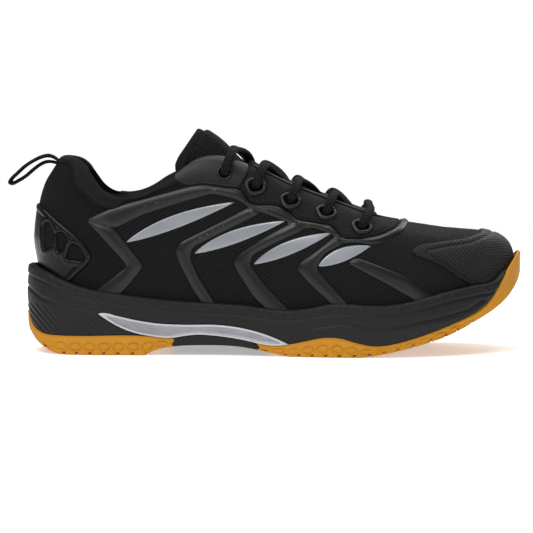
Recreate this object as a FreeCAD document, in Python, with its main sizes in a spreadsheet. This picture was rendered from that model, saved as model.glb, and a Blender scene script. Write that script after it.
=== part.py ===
"""Indoor court shoe, right foot: a parametric FreeCAD document, in millimetres.

The shoe is drawn from its heel (x = 0) to its toe, with +Y towards the medial side and z = 0 on the floor;
place() moves every point into the part's own frame, whose origin is under the middle of the bounding box.
The upper is one surface: walls that rise from the midsole's rim to the edge of the collar and throat.
Every layer of the upper (mesh, lining, foam, overlays) is that surface at two depths, cut to its outline.
"""

import FreeCAD, Part

import math
import os

from FreeCAD import Vector

DOC = FreeCAD.newDocument("court_shoe")

# ---------------------------------------------------------------- driving dimensions

DIMENSIONS = [
    ("centre_x", 141.8, "middle of the bounding box, from the heel"),
    ("centre_y", -1.0, "middle of the bounding box, from the shoe's line"),
    ("cut_width", 80.0, "half length of every side-profile extrusion"),
    ("cut_height", 160.0, "height of every plan extrusion"),
    ("sole_flange", 3.9, "midsole wall outside the upper"),
    ("rubber_wall", 2.6, "outsole wall where it wraps the midsole"),
    ("tread_pitch", 8.6, "spacing of the tread grooves"),
    ("tread_width", 2.0, "width of a tread groove"),
    ("tread_depth", 1.8, "depth of a tread groove"),
    ("tread_zigzag", 7.0, "half period of a groove's zigzag"),
    ("tread_swing", 1.6, "how far a groove swings to each side"),
    ("cup_clearance", 0.15, "gap between upper and midsole wall"),
    ("blade_proud", 0.7, "shank blade beyond the midsole wall"),
    ("blade_wall", 1.8, "thickness of the shank blade"),
    ("mesh_thickness", 1.4, "outer textile"),
    ("layer_gap", 0.1, "glue line between two layers"),
    ("stiffener_thickness", 1.0, "heel counter and toe puff"),
    ("lining_depth", 2.6, "outer face of the lining below the outer textile"),
    ("lining_thickness", 0.8, "lining textile"),
    ("collar_swell", 5.6, "how far the collar foam pushes the lining in"),
    ("film_thickness", 0.45, "heat-pressed accent film"),
    ("cage_thickness", 1.0, "moulded side cage"),
    ("toe_cap_thickness", 1.2, "toe cap"),
    ("heel_cage_thickness", 2.0, "moulded heel cage"),
    ("eyestay_thickness", 0.7, "eyelet panel"),
    ("webbing_thickness", 1.4, "throat webbing"),
    ("eyelet_radius", 3.5, "lace hole"),
    ("eyelet_rim", 1.3, "width of the eyelet frame"),
    ("eyelet_height", 0.7, "height of the eyelet frame"),
    ("lace_diameter", 4.2, "lace, round"),
    ("aglet_length", 20.0, "tip of the lace"),
    ("aglet_diameter", 3.6, "tip of the lace"),
    ("board_thickness", 1.5, "strobel board"),
    ("insole_thickness", 5.0, "removable insole"),
    ("tongue_face_thickness", 1.2, "tongue mesh"),
    ("tongue_foam_thickness", 4.4, "tongue foam"),
    ("tongue_lining_thickness", 0.8, "tongue lining"),
    ("pull_tab_width", 11.0, "heel webbing"),
]


def make_sheet():
    sheet = DOC.addObject("Spreadsheet::Sheet", "dims")
    for row, (alias, value, note) in enumerate(DIMENSIONS, 1):
        sheet.set(f"A{row}", alias)
        sheet.set(f"B{row}", str(value))
        sheet.set(f"C{row}", note)
        sheet.setAlias(f"B{row}", alias)
    DOC.recompute()
    return sheet


SHEET = make_sheet()


def dim(alias):
    return float(SHEET.get(alias))


CENTRE_X = dim("centre_x")
CENTRE_Y = dim("centre_y")


def place(x, y, z):
    """A point of the shoe's drawing in the part's frame."""
    return Vector(x - CENTRE_X, y - CENTRE_Y, z)


# ---------------------------------------------------------------- curves of the side view

# Height of the midsole's rim, where the upper comes out of it.
RIM_LINE = [(0, 51.5), (10, 48), (22, 43), (36, 38.5), (54, 35.5), (72, 33), (92, 31), (128, 29), (150, 26.5),
            (166, 27.5), (182, 30.5), (207, 29.5), (222, 30.5), (238, 34), (252, 37.4), (266, 40), (279, 42),
            (286, 47.5), (296, 56)]
# Height of the footbed, where the upper is sewn to the strobel board.
FOOTBED_LINE = [(0, 28), (30, 26.5), (60, 25), (90, 22), (120, 18.5), (150, 16), (180, 15.5), (205, 16.5),
                (230, 20), (255, 26.5), (275, 33.5), (300, 43)]
BOARD_END = 286.8
FLAT_HEEL = [(25, 0), (71, 0)]
FLAT_FOREFOOT = [(157, 0), (197, 0)]
# Where the tread's grooves run, and the rings that the foot turns on.
TREAD_RUNS = [(12, 80), (152, 268)]
PIVOT = (182, -4)
PIVOT_RINGS = [6.4, 12.4, 18.4]
HEEL_CURVE = [(0.6, 27), (0.8, 17.4), (3.4, 11), (8.6, 5.6), (15, 1.8), (25, 0)]
ARCH_CURVE = [(71, 0), (79, 3.6), (96, 5.8), (112, 6), (127, 5.4), (143, 2.6), (157, 0)]
TOE_CURVE = [(197, 0), (212, 2.0), (225, 4.8), (238, 8.3), (251, 12.6), (269, 21.4), (281, 28.5), (290, 37),
             (295, 47), (297, 60)]
# Where the rubber meets the midsole foam.
HEEL_RUBBER_TOP = [(-4, 29), (1.2, 24), (2.6, 18.4), (5.6, 14.6), (10, 12.2), (16, 11.3), (40, 11.4),
                   (60, 11.8), (74, 11.3), (90, 9.8)]
FOREFOOT_RUBBER_TOP = [(136, 8.2), (146, 6.6), (157, 7.4), (166, 9.4), (176, 11.5), (186, 11.4), (196, 8.7),
                       (206, 6.9), (215, 7.5), (228, 10.6), (241, 14.7), (254, 19.6), (267, 25.3),
                       (275, 31.3), (279.5, 37.4), (283.5, 44), (289, 52), (300, 66)]
# The shank plate's visible blade.
BLADE_TOP = [(43.6, 24.6), (46.5, 25.2), (54, 23.6), (67, 20.7), (80, 18.8), (97, 18.1), (112, 18.2),
             (126, 16.9), (140, 13.8), (150, 10.2), (156, 7.4)]
BLADE_BOTTOM = [(43.6, 24.6), (54, 18), (63.5, 14), (73, 11.8), (86, 10.4), (96, 11.8), (103, 12.4),
                (115, 11.6), (129, 9.6), (145, 6.6), (156, 7.4)]

# ---------------------------------------------------------------- the upper's stations
#
# One line of the wall per station, from the heel's centre (0) by the lateral side to the toe (13) and back.
# Each: base x, base y (lateral, medial), edge x, edge y, edge z, squareness of the wall's curve, bulge, dip.
STATIONS = [
    (7.6, 0, 0, 23, 0, 116, 2.0, 0.8, 0),
    (11.5, -16, 16, 26, -10, 115.6, 2.0, 0.8, 0),
    (24, -27.5, 27, 34, -19.5, 112.2, 2.0, 0.8, 0),
    (45, -33, 31.5, 43.5, -27, 99, 2.0, 0.6, 0),
    (70, -34, 30, 58, -30.5, 92, 2.0, 0, 0),
    (97, -33.5, 28, 79, -30, 98.5, 2.05, 0, 0),
    (124, -36, 29.5, 102, -25, 115, 2.05, 0.5, 0),
    (150, -42, 34.5, 125, -18.5, 114, 1.95, 1, 0),
    (176, -48, 41.5, 149, -15.5, 102, 1.85, 1, 0),
    (202, -51, 47.5, 174, -14.5, 92, 1.85, 0.8, 0.5),
    (228, -48.5, 48.5, 196, -12.5, 83.6, 2.0, 0.5, 1.6),
    (252, -40, 43.5, 207.5, -8.5, 80, 2.35, 0, 3),
    (274, -26, 34, 211.5, -4.2, 79.2, 2.8, 0, 4),
    (291, 5, 5, 212.5, 0, 79, 3.1, 0, 4.2),
]
LAST = len(STATIONS) - 1
# How much further than sole_flange the sole stands out, from the heel's centre forwards.
HEEL_FLARE = [3.0, 2.5, 1.3, 0.4]
WALL_LEVELS = [0, 0.06, 0.14, 0.24, 0.36, 0.48, 0.6, 0.72, 0.84, 0.93, 1]
WALL_SAMPLES = 96


def along(points, x):
    """Height at x of the smooth curve through points."""
    for i in range(len(points) - 1):
        (x0, z0), (x1, z1) = points[i], points[i + 1]
        if x <= x1 or i == len(points) - 2:
            before = points[max(i - 1, 0)]
            after = points[min(i + 2, len(points) - 1)]
            slope0 = (z1 - before[1]) / (x1 - before[0])
            slope1 = (after[1] - z0) / (after[0] - x0)
            t = (x - x0) / (x1 - x0)
            width = x1 - x0
            return (z0 * (1 + 2 * t) * (1 - t) ** 2 + z1 * t * t * (3 - 2 * t)
                    + width * (slope0 * t * (1 - t) ** 2 - slope1 * t * t * (1 - t)))


def station(i):
    """The station's numbers on either side: i runs from 0 round to 2 * LAST - 1."""
    lateral = i <= LAST
    bx, by_lateral, by_medial, ex, ey, ez, square, bulge, dip = STATIONS[i if lateral else 2 * LAST - i]
    base_y = by_lateral if lateral else by_medial
    return bx, base_y, ex, ey if lateral else -ey, ez, square, bulge, dip


RING = range(2 * LAST)


def plan_normal(i):
    """Outward direction of the base outline at station i, in plan."""
    x0, y0 = station((i - 1) % len(RING))[:2]
    x1, y1 = station((i + 1) % len(RING))[:2]
    length = math.hypot(x1 - x0, y1 - y0)
    return (y1 - y0) / length, -(x1 - x0) / length


def wall_curve(i):
    """The station's wall as many points, evenly spaced along it, from the rim to the edge."""
    bx, by, ex, ey, ez, square, bulge, dip = station(i)
    bz = along(RIM_LINE, bx) - 2
    nx, ny = plan_normal(i)
    raw = []
    for k in range(WALL_SAMPLES + 1):
        angle = math.pi / 2 * k / WALL_SAMPLES
        across = 1 - max(math.cos(angle), 0) ** (2 / square)
        up = math.sin(angle) ** (2 / square)
        out = bulge * math.sin(math.pi * up)
        raw.append(Vector(bx + (ex - bx) * across + nx * out, by + (ey - by) * across + ny * out,
                          bz + (ez - bz) * up - dip * math.sin(math.pi * across) ** 1.5))
    travelled = [0]
    for a, b in zip(raw, raw[1:]):
        travelled.append(travelled[-1] + (b - a).Length)
    return raw, travelled


CURVES = [wall_curve(i) for i in RING]


def on_curve(i, level):
    raw, travelled = CURVES[i % len(RING)]
    target = level * travelled[-1]
    for k in range(WALL_SAMPLES):
        if travelled[k + 1] >= target or k == WALL_SAMPLES - 1:
            share = (target - travelled[k]) / (travelled[k + 1] - travelled[k])
            return raw[k] + (raw[k + 1] - raw[k]) * share


def wall_point(i, level, depth):
    """Point at station i and a level from 0 (rim) to 1 (edge), depth below the outer textile's face."""
    step = 0.02
    here = on_curve(i, level)
    forward = on_curve(i + 1, level) - on_curve(i - 1, level)
    rise = on_curve(i, min(level + step, 1)) - on_curve(i, max(level - step, 0))
    outward = forward.cross(rise).normalize()
    return here - outward * depth


# Each station's share of the way round the base outline, so that the curves through the stations stay fair.
STEPS = [0.0]
for STATION in RING:
    HERE, THERE = on_curve(STATION, 0), on_curve(STATION + 1, 0)
    STEPS.append(STEPS[-1] + math.hypot(THERE.x - HERE.x, THERE.y - HERE.y))


def closed_spline(points):
    curve = Part.BSplineCurve()
    curve.interpolate(Points=points, PeriodicFlag=True, Parameters=STEPS)
    return curve


def ring(level, depth):
    """One closed turn of the upper's surface. depth is a number or a function of station and level."""
    points = []
    for i in RING:
        d = depth(i, level) if callable(depth) else depth
        p = wall_point(i, level, d)
        points.append(place(p.x, p.y, p.z))
    return closed_spline(points)


def skirt_ring(depth):
    """The turn at the footbed, straight below the rim."""
    points = []
    for i in RING:
        d = depth(i, 0) if callable(depth) else depth
        p = wall_point(i, 0, d)
        points.append(place(p.x, p.y, along(FOOTBED_LINE, p.x)))
    return closed_spline(points)


def swept_face(rings, columns, degree):
    """The face over rings of one pole layout; columns run up through the rings' matching poles."""
    surface = Part.BSplineSurface()
    surface.buildFromPolesMultsKnots([c.getPoles() for c in columns], rings[0].getMultiplicities(),
                                     columns[0].getMultiplicities(),
                                     rings[0].getKnots(), columns[0].getKnots(),
                                     True, False, 3, degree)
    return surface.toShape()


def wall_face(rings, levels):
    """The smooth face through the rings at these levels."""
    columns = []
    for poles in zip(*[r.getPoles() for r in rings]):
        column = Part.BSplineCurve()
        column.interpolate(Points=list(poles), Parameters=[float(level) for level in levels])
        columns.append(column)
    return swept_face(rings, columns, 3)


def strip_face(low, high):
    """The straight face between two rings."""
    columns = []
    for poles in zip(low.getPoles(), high.getPoles()):
        column = Part.BSplineCurve()
        column.buildFromPolesMultsKnots(list(poles), [2, 2], [0.0, 1.0], False, 1)
        columns.append(column)
    return swept_face([low, high], columns, 1)


def layer(name, outer, inner, levels=WALL_LEVELS, skirt=True):
    """A closed band of the upper between two depths, as a solid."""
    faces, feet, tops = [], [], []
    for depth in (outer, inner):
        rings = [ring(level, depth) for level in levels]
        faces.append(wall_face(rings, levels))
        foot = rings[0]
        if skirt:
            foot = skirt_ring(depth)
            faces.append(strip_face(foot, rings[0]))
        feet.append(foot)
        tops.append(rings[-1])
    faces += [strip_face(*feet), strip_face(*tops)]
    shell = Part.makeShell(faces)
    shell.sewShape()
    solid = Part.makeSolid(shell)
    if solid.Volume < 0:
        solid.reverse()
    return feature(name, solid)


# ---------------------------------------------------------------- sketches, extrusions and booleans


def edges_of(runs):
    """A line for a run of two points, and a spline for a longer run, closed when its ends are one point."""
    made = []
    for run in runs:
        if len(run) == 2:
            made.append(Part.LineSegment(*run))
            continue
        curve = Part.BSplineCurve()
        if run[0] == run[-1]:
            curve.interpolate(Points=run[:-1], PeriodicFlag=True)
        else:
            curve.interpolate(Points=run)
        made.append(curve)
    return made


def closed(points):
    """Runs of straight lines round a polygon."""
    return [[a, b] for a, b in zip(points, points[1:] + points[:1])]


def side_sketch(name, *loops):
    """A sketch in the XZ plane, through the shoe's line. Each loop is a list of runs of (x, z) points."""
    sketch = DOC.addObject("Sketcher::SketchObject", name)
    sketch.Placement = FreeCAD.Placement(Vector(0, -CENTRE_Y, 0), FreeCAD.Rotation(Vector(1, 0, 0), 90))
    for loop in loops:
        runs = [[Vector(x - CENTRE_X, z, 0) for x, z in run] for run in loop]
        sketch.addGeometry(edges_of(runs), False)
    return sketch


def plan_sketch(name, offset, flared):
    """A sketch in the XY plane: the upper's base outline, moved outwards by offset."""
    points = []
    for i in RING:
        x, y = station(i)[:2]
        nx, ny = plan_normal(i)
        near_heel = min(i, len(RING) - i)
        out = offset + (HEEL_FLARE[near_heel] if flared and near_heel < len(HEEL_FLARE) else 0)
        points.append(place(x + nx * out, y + ny * out, 0))
    sketch = DOC.addObject("Sketcher::SketchObject", name)
    sketch.addGeometry([closed_spline(points)], False)
    return sketch


BOTH, LATERAL, MEDIAL = "both", "lateral", "medial"


def side_block(name, *loops, side=BOTH):
    """A side-view outline pushed across the shoe, or to one side of its line."""
    block = DOC.addObject("Part::Extrusion", name)
    block.Base = side_sketch(name + "_outline", *loops)
    block.DirMode = "Custom"
    block.Dir = Vector(0, -1, 0)
    block.Solid = True
    block.LengthFwd = 0
    block.LengthRev = 0
    if side in (BOTH, LATERAL):
        block.setExpression("LengthFwd", "dims.cut_width")
    if side in (BOTH, MEDIAL):
        block.setExpression("LengthRev", "dims.cut_width")
    return block


def plan_block(name, offset, flared=False):
    block = DOC.addObject("Part::Extrusion", name)
    block.Base = plan_sketch(name + "_outline", offset, flared)
    block.DirMode = "Custom"
    block.Dir = Vector(0, 0, 1)
    block.Solid = True
    block.setExpression("LengthFwd", "dims.cut_height")
    return block


def common(name, a, b):
    made = DOC.addObject("Part::Common", name)
    made.Base, made.Tool = a, b
    return made


def cut(name, a, b):
    made = DOC.addObject("Part::Cut", name)
    made.Base, made.Tool = a, b
    return made


def fuse(name, *parts):
    made = DOC.addObject("Part::MultiFuse", name)
    made.Shapes = list(parts)
    return made


def feature(name, shape):
    made = DOC.addObject("Part::Feature", name)
    made.Shape = shape
    return made


PARTS = []


def keep(part, label):
    """Marks a finished sub-part. Its label names its file."""
    part.Label = label
    PARTS.append(part)
    return part


# ---------------------------------------------------------------- sole unit


def raised(points, dz):
    return [(x, z + dz) for x, z in points]


def sampled(points, x0, x1, dz=0.0, count=14):
    """The smooth curve through points, between two places, with few points."""
    step = (x1 - x0) / (count - 1)
    return [(x0 + k * step, along(points, x0 + k * step) + dz) for k in range(count)]


def sole_loop():
    """The sole unit's side view: floor line, toe, rim line and heel."""
    rim = list(reversed(sampled(RIM_LINE, 0, 297, count=34)))
    return [HEEL_CURVE, FLAT_HEEL, ARCH_CURVE, FLAT_FOREFOOT, TOE_CURVE, [TOE_CURVE[-1], rim[0]], rim,
            [rim[-1], HEEL_CURVE[0]]]


def toe_tip(name):
    """The space in front of the strobel board's end."""
    corners = [(BOARD_END, 0), (310, 0), (310, 60), (BOARD_END, 60)]
    return side_block(name + "_toe_tip", [[a, b] for a, b in zip(corners, corners[1:] + corners[:1])])


def make_sole():
    """The sole unit, as rubber, foam and shank plate round the upper. Gives back its uncut blank."""
    wall = plan_block("sole_plan", dim("sole_flange"), True)
    blank = common("sole_blank", side_block("sole_side", sole_loop()), wall)
    cavity_floor = sampled(FOOTBED_LINE, -6, 300, -dim("board_thickness"), 16)
    cavity = common("cup_cavity", side_block("cup_side", [
        cavity_floor, [cavity_floor[-1], (300, 90)], [(300, 90), (-6, 90)], [(-6, 90), cavity_floor[0]]]),
                    plan_block("cup_plan", dim("cup_clearance")))
    # At the toe's tip the cavity stops at the footbed, so that the rubber stays closed under it.
    bed = sampled(FOOTBED_LINE, -6, 300, -dim("layer_gap"), 16)
    below_bed = side_block("below_bed", [bed, [bed[-1], (300, 0)], [(300, 0), (-6, 0)], [(-6, 0), bed[0]]])
    cavity = cut("cup_cavity_short", cavity, common("toe_fill", below_bed, toe_tip("cup")))
    whole = cut("sole_cup", blank, cavity)

    # The rubber is what lies below its top line, less a core of foam set in by the rubber's wall.
    wrap = plan_block("core_plan", dim("sole_flange") - dim("rubber_wall"), True)
    core_floor = [(-10, 30), (1, 19), (4.4, 14.2), (9, 10.2), (15, 7.3), (25, 5.5), (71, 5.5), (96, 8),
                  (127, 8), (157, 5.5), (197, 5.5), (225, 9.5), (251, 17), (270, 26.6), (281, 33.5),
                  (289.5, 42.5), (294, 52), (300, 66)]
    core_side = side_block("core_side", [core_floor, [core_floor[-1], (310, 90)], [(310, 90), (-10, 90)],
                                         [(-10, 90), core_floor[0]]])
    core = common("foam_core", core_side, wrap)
    tread = make_tread()
    heel_zone = side_block("heel_rubber_side", [HEEL_RUBBER_TOP, [(90, 9.8), (76, -5)], [(76, -5), (-4, -5)],
                                                [(-4, -5), (-4, 29)]])
    fore_zone = side_block("fore_rubber_side", [[(136, 8.2), (157, -5)], [(157, -5), (300, -5)],
                                                [(300, -5), (300, 66)], list(reversed(FOREFOOT_RUBBER_TOP))])
    rubber_raw = []
    for name, zone in (("outsole_heel", heel_zone), ("outsole_forefoot", fore_zone)):
        rubber_raw.append(cut(name + "_block", common(name + "_raw", whole, zone), core))
        keep(cut(name, rubber_raw[-1], tread), name)

    # The shank plate: a blade on each side of the arch, joined by a web under the foot.
    blade_zone = side_block("blade_side", [BLADE_TOP, list(reversed(BLADE_BOTTOM))])
    proud = plan_block("blade_plan", dim("sole_flange") + dim("blade_proud"), True)
    inside = plan_block("blade_inside", dim("sole_flange") + dim("blade_proud") - dim("blade_wall"), True)
    blades = cut("shank_blades", common("blade_band", blade_zone, proud), inside)
    web_top = [(60, 17.4), (80, 15.4), (97, 15), (112, 14.8), (126, 13.6), (141, 10.6)]
    web = common("shank_web", side_block("web_side", [web_top, [web_top[-1], (141, 9)],
                                                      list(reversed(raised(web_top, -1.6))),
                                                      [(60, 15.8), web_top[0]]]),
                 plan_block("web_plan", dim("sole_flange") + dim("blade_proud") - dim("blade_wall") / 2))
    shank = keep(fuse("shank_plate", blades, web), "shank_plate")

    foam = cut("midsole_a", cut("midsole_b", whole, rubber_raw[0]), rubber_raw[1])
    keep(cut("midsole", foam, shank), "midsole")
    return blank


def tread_prism(name, outlines):
    """Outlines in plan, pushed up from below the floor."""
    sketch = DOC.addObject("Sketcher::SketchObject", name + "_outline")
    sketch.Placement = FreeCAD.Placement(Vector(0, 0, -5), FreeCAD.Rotation())
    for edges in outlines:
        sketch.addGeometry(edges, False)
    prism = DOC.addObject("Part::Extrusion", name)
    prism.Base = sketch
    prism.DirMode = "Custom"
    prism.Dir = Vector(0, 0, 1)
    prism.Solid = True
    prism.setExpression("LengthFwd", "dims.cut_height")
    return prism


def zigzag(x, width):
    """One groove across the sole, as a closed zigzag band."""
    step, swing = dim("tread_zigzag"), dim("tread_swing")
    turns = [(x + (swing if k % 2 else -swing), CENTRE_Y + (k + 0.5) * step) for k in range(-9, 9)]
    outline = [place(a, b, 0) for a, b in turns] + [place(a + width, b, 0) for a, b in reversed(turns)]
    return [Part.LineSegment(a, b) for a, b in zip(outline, outline[1:] + outline[:1])]


def make_tread():
    """Zigzag grooves across the sole and rings under the ball of the foot, to one depth below its curve."""
    pitch, width, depth = dim("tread_pitch"), dim("tread_width"), dim("tread_depth")
    zigzags = []
    for first, last in TREAD_RUNS:
        zigzags += [zigzag(first + k * pitch, width) for k in range(int((last - first) / pitch) + 1)]
    middle = place(*PIVOT, 0)
    pivot = tread_prism("pivot_disc", [[Part.Circle(middle, Vector(0, 0, 1), PIVOT_RINGS[-1])]])
    outside = cut("tread_zigzags_round_pivot", tread_prism("tread_zigzags", zigzags), pivot)
    rings = []
    for radius in PIVOT_RINGS:
        rings += [[Part.Circle(middle, Vector(0, 0, 1), radius)],
                  [Part.Circle(middle, Vector(0, 0, 1), radius - width)]]
    heel, toe = raised(HEEL_CURVE[2:], depth), raised(TOE_CURVE[:7], depth)
    band = side_block("tread_band", [heel, [heel[-1], toe[0]], toe, [toe[-1], (toe[-1][0], -6)],
                                     [(toe[-1][0], -6), (heel[0][0], -6)], [(heel[0][0], -6), heel[0]]])
    return common("tread_grooves", fuse("tread_plan", outside, tread_prism("pivot_rings", rings)), band)


# ---------------------------------------------------------------- footbed


def slab(label, floor_line, lift, thickness, inset, x0, x1, short=False):
    """A sheet that follows the footbed, cut to the upper's inside, and short of the toe's tip if asked."""
    floor = sampled(floor_line, x0, x1, lift, 16)
    top = list(reversed(raised(floor, thickness)))
    side = side_block(label + "_side", [floor, [floor[-1], top[0]], top, [top[-1], floor[0]]])
    if short:
        side = cut(label + "_short", side, toe_tip(label))
    return keep(common(label, side, plan_block(label + "_plan", -inset)), label)


def make_footbed():
    gap = dim("layer_gap")
    slab("strobel_board", FOOTBED_LINE, -dim("board_thickness") + gap, dim("board_thickness") - 3 * gap, 0.1,
         -6, 300, short=True)
    lining_face = dim("lining_depth") + dim("lining_thickness")
    slab("insole", FOOTBED_LINE, gap, dim("insole_thickness"), lining_face + 0.6, -6, 300)


# ---------------------------------------------------------------- layers of the upper

# The knitted heel panel: everything behind this zigzag, which the side cage covers.
HEEL_PANEL = [(-20, 20), (46, 20), (46, 36), (64, 53), (43, 79), (97, 100), (97, 130), (-20, 130)]
COLLAR_ZONE = [(-20, 62), (40, 62), (60, 70), (84, 74), (100, 82), (100, 130), (-20, 130)]
COUNTER_ZONE = [(-20, 10), (60, 10), (52, 40), (40, 58), (-20, 60)]
TOE_PUFF_ZONE = [(262, 10), (310, 10), (310, 90), (270, 90)]

HEEL_CAGE = [(-10, 20), (20, 20), (26, 42.1), (32.5, 49.1), (38, 54.2), (40, 58.8), (36, 65), (27.2, 72.9),
             (18.4, 79.9), (9.2, 88.8), (-10, 92)]
HEEL_CAGE_WINDOWS = [
    [(12.5, 61), (16.8, 63), (18.6, 72), (15.6, 78.5), (12.5, 76)],
    [(20, 60.5), (23, 62), (25.5, 68.5), (23.5, 72), (19.4, 72)],
    [(24.5, 56.5), (34.2, 55.6), (36, 58.2), (33.5, 63), (29, 66), (26, 63)],
]
# Side cage: the rear zigzag, the band under the eyelets and the arms that run down to the rim.
CAGE_BANDS = {
    "rear": [(36, 80), (53.6, 74.8), (71, 53), (55, 33), (55, 20), (38, 20), (38, 35), (60.8, 52.8)],
    "top": [(36, 80), (51, 87), (75, 93.5), (97, 99.6), (105, 101), (127, 98.2), (135, 88.9), (147, 88.8),
            (155.3, 86.4), (160.5, 80.2), (173, 78.2), (181, 77), (188, 69.2), (198.4, 69.1), (210, 71),
            (220, 74.6), (229, 83), (229, 77.5), (222, 71.6), (212, 66.8), (205, 65.6), (195.3, 67.3),
            (188, 66.4), (181, 72.4), (170, 75.8), (165.4, 75), (155.3, 79), (140.6, 84.4), (133, 87),
            (126, 92), (111, 95.4), (92, 90), (69, 82.6), (53.6, 74.8)],
    "second": [(133, 88), (119.5, 80.8), (92, 66.8), (89, 62.5), (91, 55), (99.3, 38.4), (104, 31), (104, 20),
               (114, 20), (112.8, 31), (103, 46.6), (98, 58.6), (99.6, 63.8), (124, 76), (140, 84.4)],
    "third": [(160, 80), (142.4, 70.5), (126.8, 60.4), (123.4, 56.4), (124.4, 51.5), (135.1, 34.7),
              (142, 27), (142, 18), (158, 18), (157, 26.8), (142.4, 42), (133, 54.6), (135.1, 59.5),
              (147, 66), (166, 75)],
    "fourth": [(184.5, 71.5), (172, 62.1), (162, 55.2), (160.8, 51.8), (167.6, 43.5), (181, 31.2), (181, 20),
               (192, 20), (191.4, 31.4), (172.4, 52.4), (176.4, 60.3), (189, 67)],
    "front": [(190, 55.5), (196, 58.6), (212.4, 52.6), (224.8, 47.4), (243, 35), (243, 24), (230, 24),
              (230, 33), (216, 41.8), (202.8, 48.8)],
}
# Leaf-shaped accent films, one in each window of the cage: rear tip, front tip and how far each edge bows.
ACCENT_LEAVES = [
    ((60, 66.6), (124.5, 90.6)),
    ((100.5, 60), (154.6, 79.8)),
    ((135.6, 54), (181.6, 72.8)),
    ((173.6, 53.4), (204.4, 65)),
]
LEAF_UPPER_BOW = 5.2
LEAF_LOWER_BOW = 2.6

EYESTAY_PATCH = [(88, 103.4), (97.4, 100), (105, 101.5), (126.6, 98.8), (132.2, 107), (132, 125), (90, 125)]
EYESTAY_PANEL = [(127.4, 98.8), (135.5, 89.4), (147, 89.3), (155.6, 86.9), (161, 80.7), (173, 78.7),
                 (181.3, 77.5), (188.3, 69.7), (198.4, 69.6), (210, 71.5), (219.4, 75), (228.4, 83.4),
                 (228.4, 90), (180, 130), (133, 130), (132.9, 107)]
WEBBING_ZONE = [(131, 60), (206, 60), (206, 130), (131, 130)]
TOE_CAP = [(268, 20), (265.3, 40), (255.6, 47.1), (245, 54.1), (230, 60), (228.3, 61.6), (232.6, 64.9),
           (245.8, 66.4), (259, 67.6), (269.5, 69.8), (273.4, 72.8), (272, 80), (310, 80), (310, 20)]

EYELETS = [(118.2, 107.6), (136.6, 99.6), (157.2, 91.0), (178.2, 84.0), (199.2, 75.6)]


def leaf(rear, front):
    """A pointed leaf between two tips: an upper and a lower bowed edge."""
    (x0, z0), (x1, z1) = rear, front
    length = math.hypot(x1 - x0, z1 - z0)
    nx, nz = -(z1 - z0) / length, (x1 - x0) / length

    def bowed(bow):
        middle = (x0 + (x1 - x0) * 0.42 + nx * bow, z0 + (z1 - z0) * 0.42 + nz * bow)
        return middle

    return [[rear, bowed(LEAF_UPPER_BOW), front], [front, bowed(-LEAF_LOWER_BOW), rear]]


def collar_depth(i, level):
    """Depth of the lining's outer face: the collar foam pushes it inwards behind the throat."""
    near_heel = min(i, len(RING) - i)
    reach = max(0.0, min(1.0, (5.6 - near_heel) / 2))
    rise = max(0.0, min(1.0, (level - 0.38) / 0.34))
    fall = max(0.0, min(1.0, (1.0 - level) / 0.16))
    swell = rise * rise * (3 - 2 * rise) * (0.45 + 0.55 * fall)
    return dim("lining_depth") + dim("collar_swell") * swell * reach


def inside_collar(extra):
    return lambda i, level: collar_depth(i, level) + extra


def side_hit(x, z, side):
    """Where a line across the shoe at (x, z) first meets the upper, and the outward normal there."""
    start = place(x, -80 if side == LATERAL else 80, z)
    end = place(x, 0, z)
    face = OUTER_FACE
    found = Part.LineSegment(start, end).toShape().section(face).Vertexes
    point = min((v.Point for v in found), key=lambda p: (p - start).Length)
    u, v = face.Surface.parameter(point)
    normal = face.normalAt(u, v)
    if normal.dot(point - place(x, 0, z - 40)) < 0:
        normal = -normal
    return point, normal


OUTER_FACE = wall_face([ring(level, 0) for level in WALL_LEVELS], WALL_LEVELS)


def eyelet_tool(side):
    """The lace holes of one side as cylinders, square to the upper."""
    reach = 11.0
    cylinders = []
    for x, z in EYELETS:
        point, normal = side_hit(x, z, side)
        cylinders.append(Part.makeCylinder(dim("eyelet_radius"), reach, point - normal * reach * 0.6, normal))
    return feature(f"eyelet_holes_{side}", Part.makeCompound(cylinders))


def eyelet_frames(side, lift):
    """A ring round every lace hole, standing on the eyelet panel."""
    rings = []
    for x, z in EYELETS:
        point, normal = side_hit(x, z, side)
        foot = point + normal * (lift + 0.05)
        outer_radius = dim("eyelet_radius") + dim("eyelet_rim")
        outer = Part.makeCylinder(outer_radius, dim("eyelet_height"), foot, normal)
        hole = Part.makeCylinder(dim("eyelet_radius") - 0.1, dim("eyelet_height") * 3,
                                 foot - normal * dim("eyelet_height"), normal)
        rings.append(outer.cut(hole))
    keep(feature(f"eyelets_{side}", Part.makeCompound(rings)), f"eyelets_{side}")


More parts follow.
